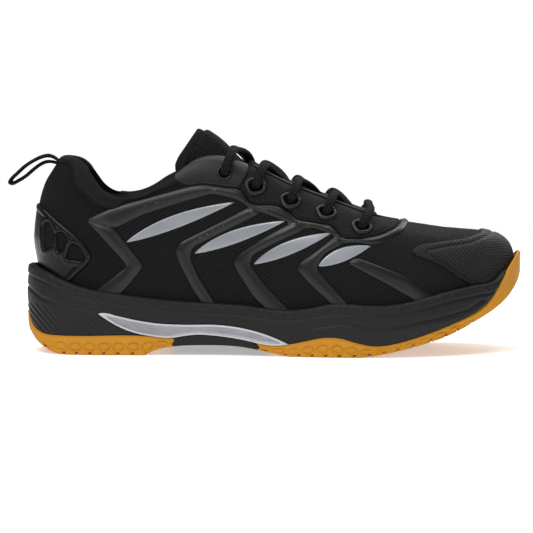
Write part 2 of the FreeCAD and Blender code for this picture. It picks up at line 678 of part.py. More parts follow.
def make_upper(sole):
    """Every layer of the upper; the moulded cages stop where the sole begins."""
    gap = dim("layer_gap")
    mesh = dim("mesh_thickness")
    stiff = mesh + gap
    holes = {side: eyelet_tool(side) for side in (LATERAL, MEDIAL)}
    all_holes = fuse("eyelet_holes", holes[LATERAL], holes[MEDIAL])

    textile = layer("textile_layer", 0, mesh)
    heel_zone = side_block("heel_panel_zone", closed(HEEL_PANEL))
    keep(common("heel_panel", textile, heel_zone), "heel_panel")
    keep(cut("vamp_mesh", cut("vamp_blank", textile, heel_zone), all_holes), "vamp_mesh")

    lining = layer("lining_layer", collar_depth, inside_collar(dim("lining_thickness")))
    collar_block = side_block("collar_lining_zone", closed([(-20, 0), (99, 0), (99, 130), (-20, 130)]))
    keep(common("collar_lining", lining, collar_block), "collar_lining")
    keep(cut("vamp_lining", cut("vamp_lining_blank", lining, collar_block), all_holes), "vamp_lining")

    foam = layer("foam_layer", stiff, inside_collar(-gap), WALL_LEVELS, False)
    keep(common("collar_foam", foam, side_block("collar_zone", closed(COLLAR_ZONE))), "collar_foam")
    stiffener = layer("stiffener_layer", stiff, stiff + dim("stiffener_thickness") - gap)
    keep(common("heel_counter", stiffener, side_block("counter_zone", closed(COUNTER_ZONE))), "heel_counter")
    keep(common("toe_puff", stiffener, side_block("toe_puff_zone", closed(TOE_PUFF_ZONE))), "toe_puff")

    toe_layer = layer("toe_cap_layer", -gap - dim("toe_cap_thickness"), -gap, skirt=False)
    toe_cap = common("toe_cap_blank", toe_layer, side_block("toe_cap_zone", closed(TOE_CAP)))
    keep(cut("toe_cap", toe_cap, sole), "toe_cap")

    heel_layer = layer("heel_cage_layer", -gap - dim("heel_cage_thickness"), -gap, skirt=False)
    windows = [closed(w) for w in HEEL_CAGE_WINDOWS]
    heel_cage = common("heel_cage_solid", heel_layer, side_block("heel_cage_zone", closed(HEEL_CAGE)))
    heel_cage = cut("heel_cage_open", heel_cage, side_block("heel_cage_windows", *windows))
    keep(cut("heel_cage", heel_cage, sole), "heel_cage")

    cage_layer = layer("cage_layer", -gap - dim("cage_thickness"), -gap, skirt=False)
    film_layer = layer("film_layer", -gap - dim("film_thickness"), -gap, skirt=False)
    panel_layer = layer("eyestay_layer", -gap - dim("eyestay_thickness"), -gap, skirt=False)
    webbing_base = -2 * gap - dim("eyestay_thickness")
    webbing_layer = layer("webbing_layer", webbing_base - dim("webbing_thickness"), webbing_base,
                          [0.945, 0.96, 0.98, 1.0], False)
    for side in (LATERAL, MEDIAL):
        bands = [side_block(f"cage_{name}_{side}", closed(points), side=side)
                 for name, points in CAGE_BANDS.items()]
        cage_plan = fuse(f"cage_bands_{side}", *bands)
        cage = common(f"cage_{side}_blank", cage_layer, cage_plan)
        keep(cut(f"cage_{side}_solid", cage, sole), f"cage_{side}")
        leaves = side_block(f"leaf_zone_{side}", *[leaf(*tips) for tips in ACCENT_LEAVES], side=side)
        films = common(f"accent_films_{side}_blank", film_layer, leaves)
        keep(cut(f"accent_films_{side}_solid", films, cage_plan), f"accent_films_{side}")
        for label, outline in (("top_patch", EYESTAY_PATCH), ("eyestay", EYESTAY_PANEL)):
            zone = side_block(f"{label}_zone_{side}", closed(outline), side=side)
            panel = common(f"{label}_{side}_blank", panel_layer, zone)
            keep(cut(f"{label}_{side}_solid", panel, holes[side]), f"{label}_{side}")
        webbing_zone = side_block(f"webbing_zone_{side}", closed(WEBBING_ZONE), side=side)
        keep(common(f"webbing_{side}_solid", webbing_layer, webbing_zone), f"throat_webbing_{side}")
        eyelet_frames(side, -webbing_base)


# ---------------------------------------------------------------- pull tab

TAB_OUTER = [(17.8, 113.9), (17.1, 115.5), (15.4, 117), (13.1, 117.6), (8.1, 116.8), (3.1, 114.5),
             (-1.9, 111.4), (-6.8, 106.8), (-11, 102.4), (-11.2, 100.4), (-9.3, 99.6), (-5.3, 100.9),
             (-0.4, 103.8), (4.1, 107.8), (8.1, 111), (11, 112.3), (14, 112.2), (16.6, 112.5),
             (17.8, 113.9)]
TAB_SLIT = [(-5.4, 104.4), (-3.4, 106.9), (0.4, 109.7), (4.2, 112), (2.4, 109.2), (-1, 106), (-3.6, 104.2),
            (-5.4, 104.4)]


def make_pull_tab():
    """A folded loop of webbing: one outline with a slit, padded to the webbing's width."""
    body = DOC.addObject("PartDesign::Body", "pull_tab_body")
    plane = [f for f in body.Origin.OriginFeatures if f.Role == "XZ_Plane"][0]
    sketch = body.newObject("Sketcher::SketchObject", "pull_tab_outline")
    sketch.AttachmentSupport = [(plane, "")]
    sketch.MapMode = "FlatFace"
    for outline in (TAB_OUTER, TAB_SLIT):
        sketch.addGeometry(edges_of([[Vector(x - CENTRE_X, z, 0) for x, z in outline]]), False)
    pad = body.newObject("PartDesign::Pad", "pull_tab_pad")
    pad.Profile = sketch
    pad.SideType = "Symmetric"
    pad.setExpression("Length", "dims.pull_tab_width")
    body.Tip = pad
    body.Placement = FreeCAD.Placement(Vector(0, -CENTRE_Y, 0), FreeCAD.Rotation())
    keep(body, "pull_tab")


# ---------------------------------------------------------------- tongue

# Along the tongue, from its root under the vamp to its free end: middle of the face (x, z), half width and
# how far the sides drop below the middle.
TONGUE_STATIONS = [
    ((214, 69.5), 17, 5.5), ((203, 73.6), 20, 7.5), ((188, 79.6), 22, 10), ((171, 86.4), 23, 12.5),
    ((154, 94), 21.8, 15), ((139, 103.4), 19.8, 18), ((127, 115.4), 18.6, 22), ((116, 126.6), 18.8, 25),
    ((106.2, 133.4), 18.6, 26),
]
TONGUE_SPREAD = [-1, -0.75, -0.4, 0, 0.4, 0.75, 1]


def tongue_section(k, top, bottom):
    """One closed section of the tongue, square to its run, between two depths below its face."""
    (x, z), half_width, drop = TONGUE_STATIONS[k]
    (x0, z0) = TONGUE_STATIONS[max(k - 1, 0)][0]
    (x1, z1) = TONGUE_STATIONS[min(k + 1, len(TONGUE_STATIONS) - 1)][0]
    length = math.hypot(x1 - x0, z1 - z0)
    down = ((z0 - z1) / length, (x1 - x0) / length)

    def run(depth):
        narrowed = half_width - depth * 0.9
        return [place(x + down[0] * (drop * abs(s) ** 2 + depth), narrowed * s,
                      z + down[1] * (drop * abs(s) ** 2 + depth)) for s in TONGUE_SPREAD]

    upper, lower = run(top), list(reversed(run(bottom)))
    return Part.Wire([e.toShape() for e in edges_of([upper, [upper[-1], lower[0]], lower,
                                                     [lower[-1], upper[0]]])])


def make_tongue():
    gap = dim("layer_gap")
    top = 0.0
    for label, alias in (("tongue_face", "tongue_face_thickness"), ("tongue_foam", "tongue_foam_thickness"),
                         ("tongue_lining", "tongue_lining_thickness")):
        bottom = top + dim(alias)
        sections = [tongue_section(k, top, bottom) for k in range(len(TONGUE_STATIONS))]
        keep(feature(label, Part.makeLoft(sections, True, False)), label)
        top = bottom + gap


# ---------------------------------------------------------------- lace


def tongue_height(x):
    line = [(p[0], p[1]) for p, _, _ in reversed(TONGUE_STATIONS)]
    return along(line, x)


def throat_edge(x, side):
    """A point of the throat's edge, outer face."""
    best = None
    edge = ring(1.0, 0)
    first, last = edge.FirstParameter, edge.LastParameter
    target = x - CENTRE_X
    for k in range(800):
        p = edge.value(first + (last - first) * k / 800)
        on_side = (p.y + CENTRE_Y < 0) == (side == LATERAL)
        nearer = best is None or abs(p.x - target) < abs(best.x - target)
        if on_side and p.x > place(100, 0, 0).x and nearer:
            best = p
    return best


LACE_OVER = 5.2        # corner of the lace above the outer face, over the eyelet
LACE_OVER_PANEL = 5.6  # lace centre above the outer face, between eyelet and edge
LACE_OVER_EDGE = 6.8   # over the throat's webbing
LACE_UNDER = 6.2       # below the outer face, under the eyelet
LACE_UNDER_EDGE = 5.8
LACE_TILT = 1.0        # how far the lace leans to and from the throat where it passes a hole
SHORTEST_RUN = 9.0
CROSSINGS = [(133.5, 7.3), (153.5, 8.9), (171.5, 9.2), (189.5, 9.7)]
EDGE_FORWARD = 3.4


def face_normal(point):
    """Outward normal of the upper at a point on it."""
    u, v = OUTER_FACE.Surface.parameter(point)
    normal = OUTER_FACE.normalAt(u, v)
    return normal if normal.z > -0.2 else -normal


def panel_middle(point, edge):
    """Above the panel, half way from an eyelet to the edge."""
    u0, v0 = OUTER_FACE.Surface.parameter(point)
    u1, v1 = OUTER_FACE.Surface.parameter(edge)
    middle = OUTER_FACE.Surface.value((u0 + u1) / 2, (v0 + v1) / 2)
    return middle + face_normal(middle) * LACE_OVER_PANEL


def eyelet_points(row, side):
    """The lace's points at one eyelet: under its edge, under it, over it, over the panel and its edge."""
    x, z = EYELETS[row]
    point, normal = side_hit(x, z, side)
    edge = throat_edge(x + EDGE_FORWARD, side)
    rise = face_normal(edge)
    lean = edge - point
    lean = (lean - normal * lean.dot(normal)).normalize() * LACE_TILT
    return {
        "under_edge": edge - rise * LACE_UNDER_EDGE,
        "under": point - normal * LACE_UNDER - lean,
        "over": point + normal * LACE_OVER + lean,
        "over_panel": panel_middle(point, edge),
        "over_edge": edge + rise * LACE_OVER_EDGE,
    }


def crossing(row, high):
    """Where two strands pass each other over the tongue: one lace diameter apart."""
    x, lift = CROSSINGS[row]
    stack = (dim("lace_diameter") + 0.3) / 2
    return place(x, 0, tongue_height(x) + lift + (stack if high else -stack))


def strand(start_side):
    """From the top eyelet of one side down to the bar, in order."""
    points = []
    side = start_side
    for row in range(len(EYELETS)):
        at = eyelet_points(row, side)
        if row and (at["under_edge"] - at["under"]).Length > SHORTEST_RUN:
            points.append(at["under_edge"])
        points += [at["under"], at["over"], at["over_panel"], at["over_edge"]]
        if row < len(EYELETS) - 1:
            points.append(crossing(row, high=start_side == LATERAL))
            side = MEDIAL if side == LATERAL else LATERAL
    return points


def rounded_path(points, label):
    """Straight runs joined by tangent arcs, each as large as its runs allow."""
    edges = []
    cursor = points[0]
    radii = []
    for before, here, after in zip(points, points[1:], points[2:]):
        a, b = before - here, after - here
        turn = math.pi - a.getAngle(b)
        room = 0.45 * min(a.Length, b.Length)
        radii.append(room / math.tan(turn / 2))
        start = here + a.normalize() * room
        end = here + b.normalize() * room
        centre_way = (a + b).normalize()
        radius = radii[-1]
        middle = here + centre_way * (radius / math.cos(turn / 2) - radius)
        edges.append(Part.LineSegment(cursor, start).toShape())
        edges.append(Part.Arc(start, middle, end).toShape())
        cursor = end
    edges.append(Part.LineSegment(cursor, points[-1]).toShape())
    print(f"{label}: radii {min(radii):.1f} to {max(radii):.1f} mm, "
          f"length {sum(e.Length for e in edges):.0f} mm")
    return Part.Wire(edges)


def tube(label, points, diameter):
    path = rounded_path(points, label)
    direction = (points[1] - points[0]).normalize()
    profile = Part.Wire([Part.Circle(points[0], direction, diameter / 2).toShape()])
    swept = path.makePipeShell([profile], True, False)
    expected = path.Length * math.pi * diameter ** 2 / 4
    print(f"{label}: volume {swept.Volume:.0f}, section times length {expected:.0f}")
    return keep(feature(label, swept), label)


# The loose ends: down between tongue and lining into the shoe, then along the insole by the wall. Each joins
# the laced part at its own point.
LACE_JOIN = {LATERAL: (112.5, -23.8, 94), MEDIAL: (112.8, 22.0, 94)}
LOOSE_END = {
    LATERAL: [(103, -24, 64), (105, -24, 48), (113, -24, 36.5), (128, -25.5, 29.5), (148, -29.5, 25.6),
              (170, -34, 24.2), (192, -37.5, 24.6)],
    MEDIAL: [(102.5, 21, 64), (105, 19.5, 48), (112, 18.5, 37), (126, 19.5, 30), (145, 24, 25.8),
             (167, 30, 24.2), (189, 35, 24.4)],
}


def make_lace():
    diameter = dim("lace_diameter")
    lateral, medial = strand(LATERAL), strand(MEDIAL)
    bar = (lateral[-1] + medial[-1]) / 2 + Vector(0, 0, 0.8)
    joins = {side: place(*LACE_JOIN[side]) for side in (LATERAL, MEDIAL)}
    laced = [joins[LATERAL]] + lateral + [bar] + list(reversed(medial)) + [joins[MEDIAL]]
    tube("lace", laced, diameter)
    for side, top in ((LATERAL, laced[1]), (MEDIAL, laced[-2])):
        join = joins[side]
        onward = join + (join - top).normalize() * 8.0
        route = [join, onward] + [place(*p) for p in LOOSE_END[side]]
        tube(f"lace_end_{side}", route, diameter)
        way = (route[-1] - route[-2]).normalize()
        aglet = Part.makeCylinder(dim("aglet_diameter") / 2, dim("aglet_length"), route[-1], way)
        keep(feature(f"aglet_{side}", aglet), f"aglet_{side}")


# ---------------------------------------------------------------- build, check and write


def check_and_write():
    os.makedirs("parts", exist_ok=True)
    DOC.recompute()
    for obj in DOC.Objects:
        if {"Invalid", "Error"} & set(obj.State):
            raise SystemExit(f"{obj.Name} ({obj.Label}) failed: {obj.State}")
    for part in PARTS:
        shape = part.Shape
        if shape.isNull() or not shape.isValid() or not shape.Solids:
            raise SystemExit(f"{part.Label}: null {shape.isNull()}, solids {len(shape.Solids)}")
        print(f"{part.Label}: {len(shape.Solids)} solids, {shape.Volume / 1000:.2f} cm3")
        shape.exportStep(f"parts/{part.Label}.step")
    box = FreeCAD.BoundBox()
    for part in PARTS:
        box.add(part.Shape.BoundBox)
    print("box", [round(v, 2) for v in (box.XMin, box.XMax, box.YMin, box.YMax, box.ZMin, box.ZMax)])


SOLE_BLANK = make_sole()
make_footbed()
make_upper(SOLE_BLANK)
make_pull_tab()
make_tongue()
make_lace()
check_and_write()
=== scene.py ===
"""Looks of the court shoe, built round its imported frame.

The shoe is drawn as its CAD is: in millimetres from its heel (x = 0) to its toe, +Y towards the medial side and
z = 0 on the floor. frame_of() turns such points into the frame, in metres. The upper and the sole's wall are two
parametric surfaces, and almost every piece is a closed shell on one of them, cut to its outline.
"""

import math

import bmesh
import bpy
import numpy as np
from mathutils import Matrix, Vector


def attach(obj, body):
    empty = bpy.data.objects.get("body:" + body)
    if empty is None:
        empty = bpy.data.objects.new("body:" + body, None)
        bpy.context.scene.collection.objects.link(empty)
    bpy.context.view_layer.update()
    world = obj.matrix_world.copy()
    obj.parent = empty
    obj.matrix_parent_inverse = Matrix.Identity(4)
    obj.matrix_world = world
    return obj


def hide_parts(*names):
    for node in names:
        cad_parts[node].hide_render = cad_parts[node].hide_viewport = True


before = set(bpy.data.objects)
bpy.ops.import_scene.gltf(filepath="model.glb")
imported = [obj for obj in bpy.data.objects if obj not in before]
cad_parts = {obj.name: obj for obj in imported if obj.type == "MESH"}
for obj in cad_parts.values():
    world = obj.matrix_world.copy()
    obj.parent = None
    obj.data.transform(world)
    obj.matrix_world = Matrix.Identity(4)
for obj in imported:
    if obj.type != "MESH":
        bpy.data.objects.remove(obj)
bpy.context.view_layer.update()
CENTRE = np.array((141.8, -1.0, 0.0))
LATERAL, MEDIAL = "lateral", "medial"


def frame_of(points):
    return (np.asarray(points, float) - CENTRE) * 0.001


def unit(vectors):
    return vectors / np.maximum(np.linalg.norm(vectors, axis=-1, keepdims=True), 1e-9)


def gone_along(path):
    """Distance travelled to each point of a path, or of many paths side by side."""
    steps = np.linalg.norm(np.diff(path, axis=0), axis=-1)
    return np.concatenate([np.zeros_like(steps[:1]), np.cumsum(steps, axis=0)])


# ---- the shoe's curves

RIM_LINE = [(0, 51.5), (10, 48), (22, 43), (36, 38.5), (54, 35.5), (72, 33), (92, 31), (128, 29), (150, 26.5),
            (166, 27.5), (182, 30.5), (207, 29.5), (222, 30.5), (238, 34), (252, 37.4), (266, 40), (279, 42),
            (286, 47.5), (296, 56)]
FOOTBED_LINE = [(0, 28), (30, 26.5), (60, 25), (90, 22), (120, 18.5), (150, 16), (180, 15.5), (205, 16.5),
                (230, 20), (255, 26.5), (275, 33.5), (300, 43)]
HEEL_CURVE = [(0.6, 27), (0.8, 17.4), (3.4, 11), (8.6, 5.6), (15, 1.8), (25, 0)]
ARCH_CURVE = [(71, 0), (79, 3.6), (96, 5.8), (112, 6), (127, 5.4), (143, 2.6), (157, 0)]
TOE_CURVE = [(197, 0), (212, 2.0), (225, 4.8), (238, 8.3), (251, 12.6), (269, 21.4), (281, 28.5), (290, 37),
             (295, 47), (297, 60)]
HEEL_RUBBER_TOP = [(-4, 29), (1.2, 24), (2.6, 18.4), (5.6, 14.6), (10, 12.2), (16, 11.3), (40, 11.4), (60, 11.8),
                   (74, 11.3), (90, 9.8)]
FOREFOOT_RUBBER_TOP = [(136, 8.2), (146, 6.6), (157, 7.4), (166, 9.4), (176, 11.5), (186, 11.4), (196, 8.7),
                       (206, 6.9), (215, 7.5), (228, 10.6), (241, 14.7), (254, 19.6), (267, 25.3), (275, 31.3),
                       (279.5, 37.4), (283.5, 44), (289, 52), (300, 66)]
BLADE_TOP = [(43.6, 24.6), (46.5, 25.2), (54, 23.6), (67, 20.7), (80, 18.8), (97, 18.1), (112, 18.2), (126, 16.9),
             (140, 13.8), (150, 10.2), (156, 7.4)]
BLADE_BOTTOM = [(43.6, 24.6), (54, 18), (63.5, 14), (73, 11.8), (86, 10.4), (96, 11.8), (103, 12.4), (115, 11.6),
                (129, 9.6), (145, 6.6), (156, 7.4)]
STATIONS = [
    (7.6, 0, 0, 23, 0, 116, 2.0, 0.8, 0),
    (11.5, -16, 16, 26, -10, 115.6, 2.0, 0.8, 0),
    (24, -27.5, 27, 34, -19.5, 112.2, 2.0, 0.8, 0),
    (45, -33, 31.5, 43.5, -27, 99, 2.0, 0.6, 0),
    (70, -34, 30, 58, -30.5, 92, 2.0, 0, 0),
    (97, -33.5, 28, 79, -30, 98.5, 2.05, 0, 0),
    (124, -36, 29.5, 102, -25, 115, 2.05, 0.5, 0),
    (150, -42, 34.5, 125, -18.5, 114, 1.95, 1, 0),
    (176, -48, 41.5, 149, -15.5, 102, 1.85, 1, 0),
    (202, -51, 47.5, 174, -14.5, 92, 1.85, 0.8, 0.5),
    (228, -48.5, 48.5, 196, -12.5, 83.6, 2.0, 0.5, 1.6),
    (252, -40, 43.5, 207.5, -8.5, 80, 2.35, 0, 3),
    (274, -26, 34, 211.5, -4.2, 79.2, 2.8, 0, 4),
    (291, 5, 5, 212.5, 0, 79, 3.1, 0, 4.2),
]
LAST = len(STATIONS) - 1
TURNS = 2 * LAST
HEEL_FLARE = [3.0, 2.5, 1.3, 0.4]
SOLE_FLANGE = 3.9
TREAD_PITCH = 8.6
HEEL_RUBBER_END = 88.0
RUBBER_JOIN = 136.0
TOE_MESH_START = 226
LACE_DIAMETER = 0.0042
# Heights over the upper's outer face.
OVERLAY_BACK, CLOTH_BACK, LINING_FACE, LINING_BACK = -0.3, -1.3, -1.5, -3.4

HEEL_PANEL = [(-20, 20), (46, 20), (46, 36), (64, 53), (43, 79), (97, 100), (97, 130), (-20, 130)]
HEEL_CAGE = [(-10, 20), (20, 20), (26, 42.1), (32.5, 49.1), (38, 54.2), (40, 58.8), (36, 65), (27.2, 72.9),
             (18.4, 79.9), (9.2, 88.8), (-10, 92)]
HEEL_CAGE_WINDOWS = [
    [(12.5, 61), (16.8, 63), (18.6, 72), (15.6, 78.5), (12.5, 76)],
    [(20, 60.5), (23, 62), (25.5, 68.5), (23.5, 72), (19.4, 72)],
    [(24.5, 56.5), (34.2, 55.6), (36, 58.2), (33.5, 63), (29, 66), (26, 63)],
]
CAGE_BANDS = {
    "rear": [(36, 80), (53.6, 74.8), (71, 53), (55, 33), (55, 20), (38, 20), (38, 35), (60.8, 52.8)],
    "top": [(36, 80), (51, 87), (75, 93.5), (97, 99.6), (105, 101), (127, 98.2), (135, 88.9), (147, 88.8),
            (155.3, 86.4), (160.5, 80.2), (173, 78.2), (181, 77), (188, 69.2), (198.4, 69.1), (210, 71), (220, 74.6),
            (229, 83), (229, 77.5), (222, 71.6), (212, 66.8), (205, 65.6), (195.3, 67.3), (188, 66.4), (181, 72.4),
            (170, 75.8), (165.4, 75), (155.3, 79), (140.6, 84.4), (133, 87), (126, 92), (111, 95.4), (92, 90),
            (69, 82.6), (53.6, 74.8)],
    "second": [(133, 88), (119.5, 80.8), (92, 66.8), (89, 62.5), (91, 55), (99.3, 38.4), (104, 31), (104, 20),
               (114, 20), (112.8, 31), (103, 46.6), (98, 58.6), (99.6, 63.8), (124, 76), (140, 84.4)],
    "third": [(160, 80), (142.4, 70.5), (126.8, 60.4), (123.4, 56.4), (124.4, 51.5), (135.1, 34.7), (142, 27),
              (142, 18), (158, 18), (157, 26.8), (142.4, 42), (133, 54.6), (135.1, 59.5), (147, 66), (166, 75)],
    "fourth": [(184.5, 71.5), (172, 62.1), (162, 55.2), (160.8, 51.8), (167.6, 43.5), (181, 31.2), (181, 20),
               (192, 20), (191.4, 31.4), (172.4, 52.4), (176.4, 60.3), (189, 67)],
    "front": [(190, 55.5), (196, 58.6), (212.4, 52.6), (224.8, 47.4), (243, 35), (243, 24), (230, 24), (230, 33),
              (216, 41.8), (202.8, 48.8)],
}
ACCENT_LEAVES = [((60, 66.6), (124.5, 90.6)), ((100.5, 60), (154.6, 79.8)), ((135.6, 54), (181.6, 72.8)),
                 ((173.6, 53.4), (204.4, 65))]
LEAF_UPPER_BOW = 5.2
LEAF_LOWER_BOW = 2.6
EYESTAY_PATCH = [(88, 103.4), (97.4, 100), (105, 101.5), (126.6, 98.8), (132.2, 107), (132, 125), (90, 125)]
EYESTAY_PANEL = [(127.4, 98.8), (135.5, 89.4), (147, 89.3), (155.6, 86.9), (161, 80.7), (173, 78.7), (181.3, 77.5),
                 (188.3, 69.7), (198.4, 69.6), (210, 71.5), (219.4, 75), (228.4, 83.4), (228.4, 90), (180, 130),
                 (133, 130), (132.9, 107)]
TOE_CAP = [(268, 20), (265.3, 40), (255.6, 47.1), (245, 54.1), (230, 60), (228.3, 61.6), (232.6, 64.9),
           (245.8, 66.4), (259, 67.6), (269.5, 69.8), (273.4, 72.8), (272, 80), (310, 80), (310, 20)]
EYELETS = [(118.2, 107.6), (136.6, 99.6), (157.2, 91.0), (178.2, 84.0), (199.2, 75.6)]
# Outside edge of the soft binding that rolls over the collar.
COLLAR_WRAP = [(-20, 113), (27, 113), (29.5, 99), (42, 88), (54, 85.6), (59, 91.2), (80, 97.4), (98, 104.6),
               (98, 140), (-20, 140)]


def tenths(points):
    """Points in metres from tenths of a millimetre."""
    return [(x / 10000, y / 10000, z / 10000) for x, y, z in points]


# The laced cord's points in the frame: from inside, up through every eyelet and back.
LACE = tenths([
    (-293, -228, 940), (-241, -232, 1046), (-231, -333, 1102), (-199, -282, 1181), (-182, -168, 1216),
    (-83, 10, 1181), (-60, 230, 969), (-44, 332, 1020), (-3, 277, 1102), (13, 145, 1121), (117, 10, 1054),
    (164, -154, 919), (139, -275, 867), (167, -354, 947), (195, -259, 1016), (208, -124, 1033), (297, 10, 976),
    (380, 164, 838), (352, 278, 794), (374, 352, 880), (405, 264, 939), (422, 135, 952), (477, 10, 909),
    (593, -110, 759), (557, -310, 705), (588, -370, 799), (634, -239, 858), (622, -86, 879), (623, 10, 887),
    (624, 106, 879), (633, 256, 859), (585, 380, 798), (561, 314, 707), (595, 129, 758), (477, 10, 864),
    (423, -116, 952), (406, -252, 939), (378, -352, 882), (348, -288, 791), (380, -144, 837), (297, 10, 931),
    (210, 142, 1032), (195, 268, 1013), (163, 342, 943), (144, 252, 873), (167, 175, 918), (117, 10, 1009),
    (8, -130, 1125), (-6, -270, 1110), (-43, -349, 1026), (-62, -254, 962), (-45, -171, 1018), (-83, 10, 1136),
    (-184, 187, 1216), (-197, 293, 1171), (-229, 325, 1096), (-244, 218, 1054), (-290, 230, 940),
])
LACE_ENDS = {
    LATERAL: tenths([
        (-293, -228, 940), (-328, -225, 868), (-388, -230, 640), (-368, -230, 480), (-288, -230, 365),
        (-138, -245, 295), (62, -285, 256), (282, -330, 242), (502, -365, 246),
    ]),
    MEDIAL: tenths([
        (-290, 230, 940), (-320, 238, 866), (-393, 220, 640), (-368, 205, 480), (-298, 195, 370), (-158, 205, 300),
        (32, 250, 258), (252, 310, 242), (472, 360, 244),
    ]),
}


def hermite(t, width, start, end, slope_start, slope_end):
    return (start * (1 + 2 * t) * (1 - t) ** 2 + end * t * t * (3 - 2 * t)
            + width * (slope_start * t * (1 - t) ** 2 - slope_end * t * t * (1 - t)))


def along(points, x):
    """Height at x of the smooth curve through points."""
    xs, zs = np.asarray(points, float).T
    i = np.clip(np.searchsorted(xs, x) - 1, 0, len(xs) - 2)
    j, before, after = i + 1, np.maximum(i - 1, 0), np.minimum(i + 2, len(xs) - 1)
    width = xs[j] - xs[i]
    return hermite((x - xs[i]) / width, width, zs[i], zs[j],
                   (zs[j] - zs[before]) / (xs[j] - xs[before]), (zs[after] - zs[i]) / (xs[after] - xs[i]))


def floor_line(x):
    """Height of the sole's underside."""
    x = np.asarray(x, float)
    low = np.where(x < 25, along(HEEL_CURVE, np.maximum(x, 0.6)), 0.0)
    low = np.where((x > 71) & (x < 157), along(ARCH_CURVE, x), low)
    return np.where(x > 197, along(TOE_CURVE, np.minimum(x, 297)), low)


def smooth(low, high, x):
    """0 up to low and 1 from high on, with an S between."""
    t = np.clip((x - low) / (high - low), 0, 1)
    return t * t * (3 - 2 * t)


def round_over(depth, width):
    """A quarter circle's rise: 0 at an edge and 1 from a width inside it."""
    return np.sqrt(np.clip(1 - (1 - np.clip(depth / width, 0, 1)) ** 2, 0, 1))


def groove(distance, width):
    return np.exp(-(distance / width) ** 2)


def cell_noise(x, y, seed=0):
    """Smooth noise from -1 to 1 with cells of size 1."""
    def corner(i, j):
        return np.modf(np.abs(np.sin(i * 127.1 + j * 311.7 + seed * 74.7) * 43758.5453))[0] * 2 - 1
    i, j = np.floor(x), np.floor(y)
    fx, fy = x - i, y - j
    fx, fy = fx * fx * (3 - 2 * fx), fy * fy * (3 - 2 * fy)
    return ((corner(i, j) * (1 - fx) + corner(i + 1, j) * fx) * (1 - fy)
            + (corner(i, j + 1) * (1 - fx) + corner(i + 1, j + 1) * fx) * fy)


# ---- surfaces


def station(i):
    lateral = i <= LAST
    bx, by_lateral, by_medial, ex, ey, ez, square, bulge, dip = STATIONS[i if lateral else TURNS - i]
    return bx, by_lateral if lateral else by_medial, ex, ey if lateral else -ey, ez, square, bulge, dip


BASE = np.array([station(i)[:2] for i in range(TURNS)])
AHEAD = np.roll(BASE, -1, 0) - np.roll(BASE, 1, 0)
PLAN_NORMALS = unit(np.stack([AHEAD[:, 1], -AHEAD[:, 0]], 1))
TABLE_SIZE = 400


def station_table():
    """Every station's wall at equal steps of its own length."""
    rows, lengths = [], []
    angle = np.linspace(0, math.pi / 2, 385)
    for i in range(TURNS):
        bx, by, ex, ey, ez, square, bulge, dip = station(i)
        bz = along(RIM_LINE, bx) - 2
        across = 1 - np.maximum(np.cos(angle), 0) ** (2 / square)
        up = np.sin(angle) ** (2 / square)
        out = bulge * np.sin(math.pi * up)
        nx, ny = PLAN_NORMALS[i]
        raw = np.stack([bx + (ex - bx) * across + nx * out, by + (ey - by) * across + ny * out,
                        bz + (ez - bz) * up - dip * np.maximum(np.sin(math.pi * across), 0) ** 1.5], 1)
        gone = gone_along(raw)
        at = np.linspace(0, gone[-1], TABLE_SIZE + 1)
        rows.append(np.stack([np.interp(at, gone, raw[:, c]) for c in range(3)], 1))
        lengths.append(gone[-1])
    return np.array(rows), np.array(lengths)


TABLE, WALL_LENGTHS = station_table()
KNOTS = gone_along(np.append(BASE, BASE[:1], 0))


def wall_rows(v):
    """Every station's point at each v."""
    at = v * TABLE_SIZE
    k = np.minimum(at.astype(int), TABLE_SIZE - 1)
    f = (at - k)[None, :, None]
    return TABLE[:, k] * (1 - f) + TABLE[:, k + 1] * f
ROUND = KNOTS[-1]


def bend_matrix():
    """Second derivatives of the closed cubic spline through the stations, per station value."""
    after = np.diff(KNOTS)[:, None]
    before = np.roll(after, 1, 0)
    ring = np.eye(TURNS)
    ahead, back = np.roll(ring, 1, 1), np.roll(ring, -1, 1)
    return np.linalg.solve((back * before + 2 * ring * (before + after) + ahead * after) / 6,
                           back / before + ahead / after - ring * (1 / before + 1 / after))


BEND = bend_matrix()


def weights(u):
    """How much each station counts at the distances u round the base outline."""
    u = np.mod(np.asarray(u, float), ROUND)
    j = np.clip(np.searchsorted(KNOTS, u, side="right") - 1, 0, TURNS - 1)
    k, gap = (j + 1) % TURNS, KNOTS[j + 1] - KNOTS[j]
    a = (KNOTS[j + 1] - u) / gap
    b = 1 - a
    found = np.zeros((len(u), TURNS))
    rows = np.arange(len(u))
    found[rows, j] += a
    found[rows, k] += b
    bend = gap ** 2 / 6
    return found + (bend * (a ** 3 - a))[:, None] * BEND[j] + (bend * (b ** 3 - b))[:, None] * BEND[k]


class Upper:
    """The upper's outer face: u round the base outline in millimetres, v from the rim (0) to the edge (1)."""

    step = (0.25, 0.003)
    batch = 20000

    def __init__(self, count_u, count_v):
        self.u = np.linspace(0, ROUND, count_u, endpoint=False)
        self.v = np.linspace(0, 1, count_v)
        self.grid = np.einsum("us,svc->uvc", weights(self.u), wall_rows(self.v))
        mid = self.grid[:, count_v // 2]
        self.s_of_u = gone_along(np.append(mid, mid[:1], 0))
        self.heights = weights(self.u) @ WALL_LENGTHS

    def point(self, u, v):
        v = np.clip(v, 0, 1)
        parts = [slice(low, low + self.batch) for low in range(0, len(u), self.batch)]
        return np.concatenate([np.empty((0, 3))] + [
            np.einsum("ns,snc->nc", weights(u[part]), wall_rows(v[part])) for part in parts])

    def flat(self, u, v):
        """Where a point lies on the flat cloth, in millimetres."""
        turn = np.floor(u / ROUND)
        inside = u - turn * ROUND
        s = np.interp(inside, np.append(self.u, ROUND), self.s_of_u) + turn * self.s_of_u[-1]
        return np.stack([s, v * np.interp(inside, self.u, self.heights, period=ROUND)], 1)


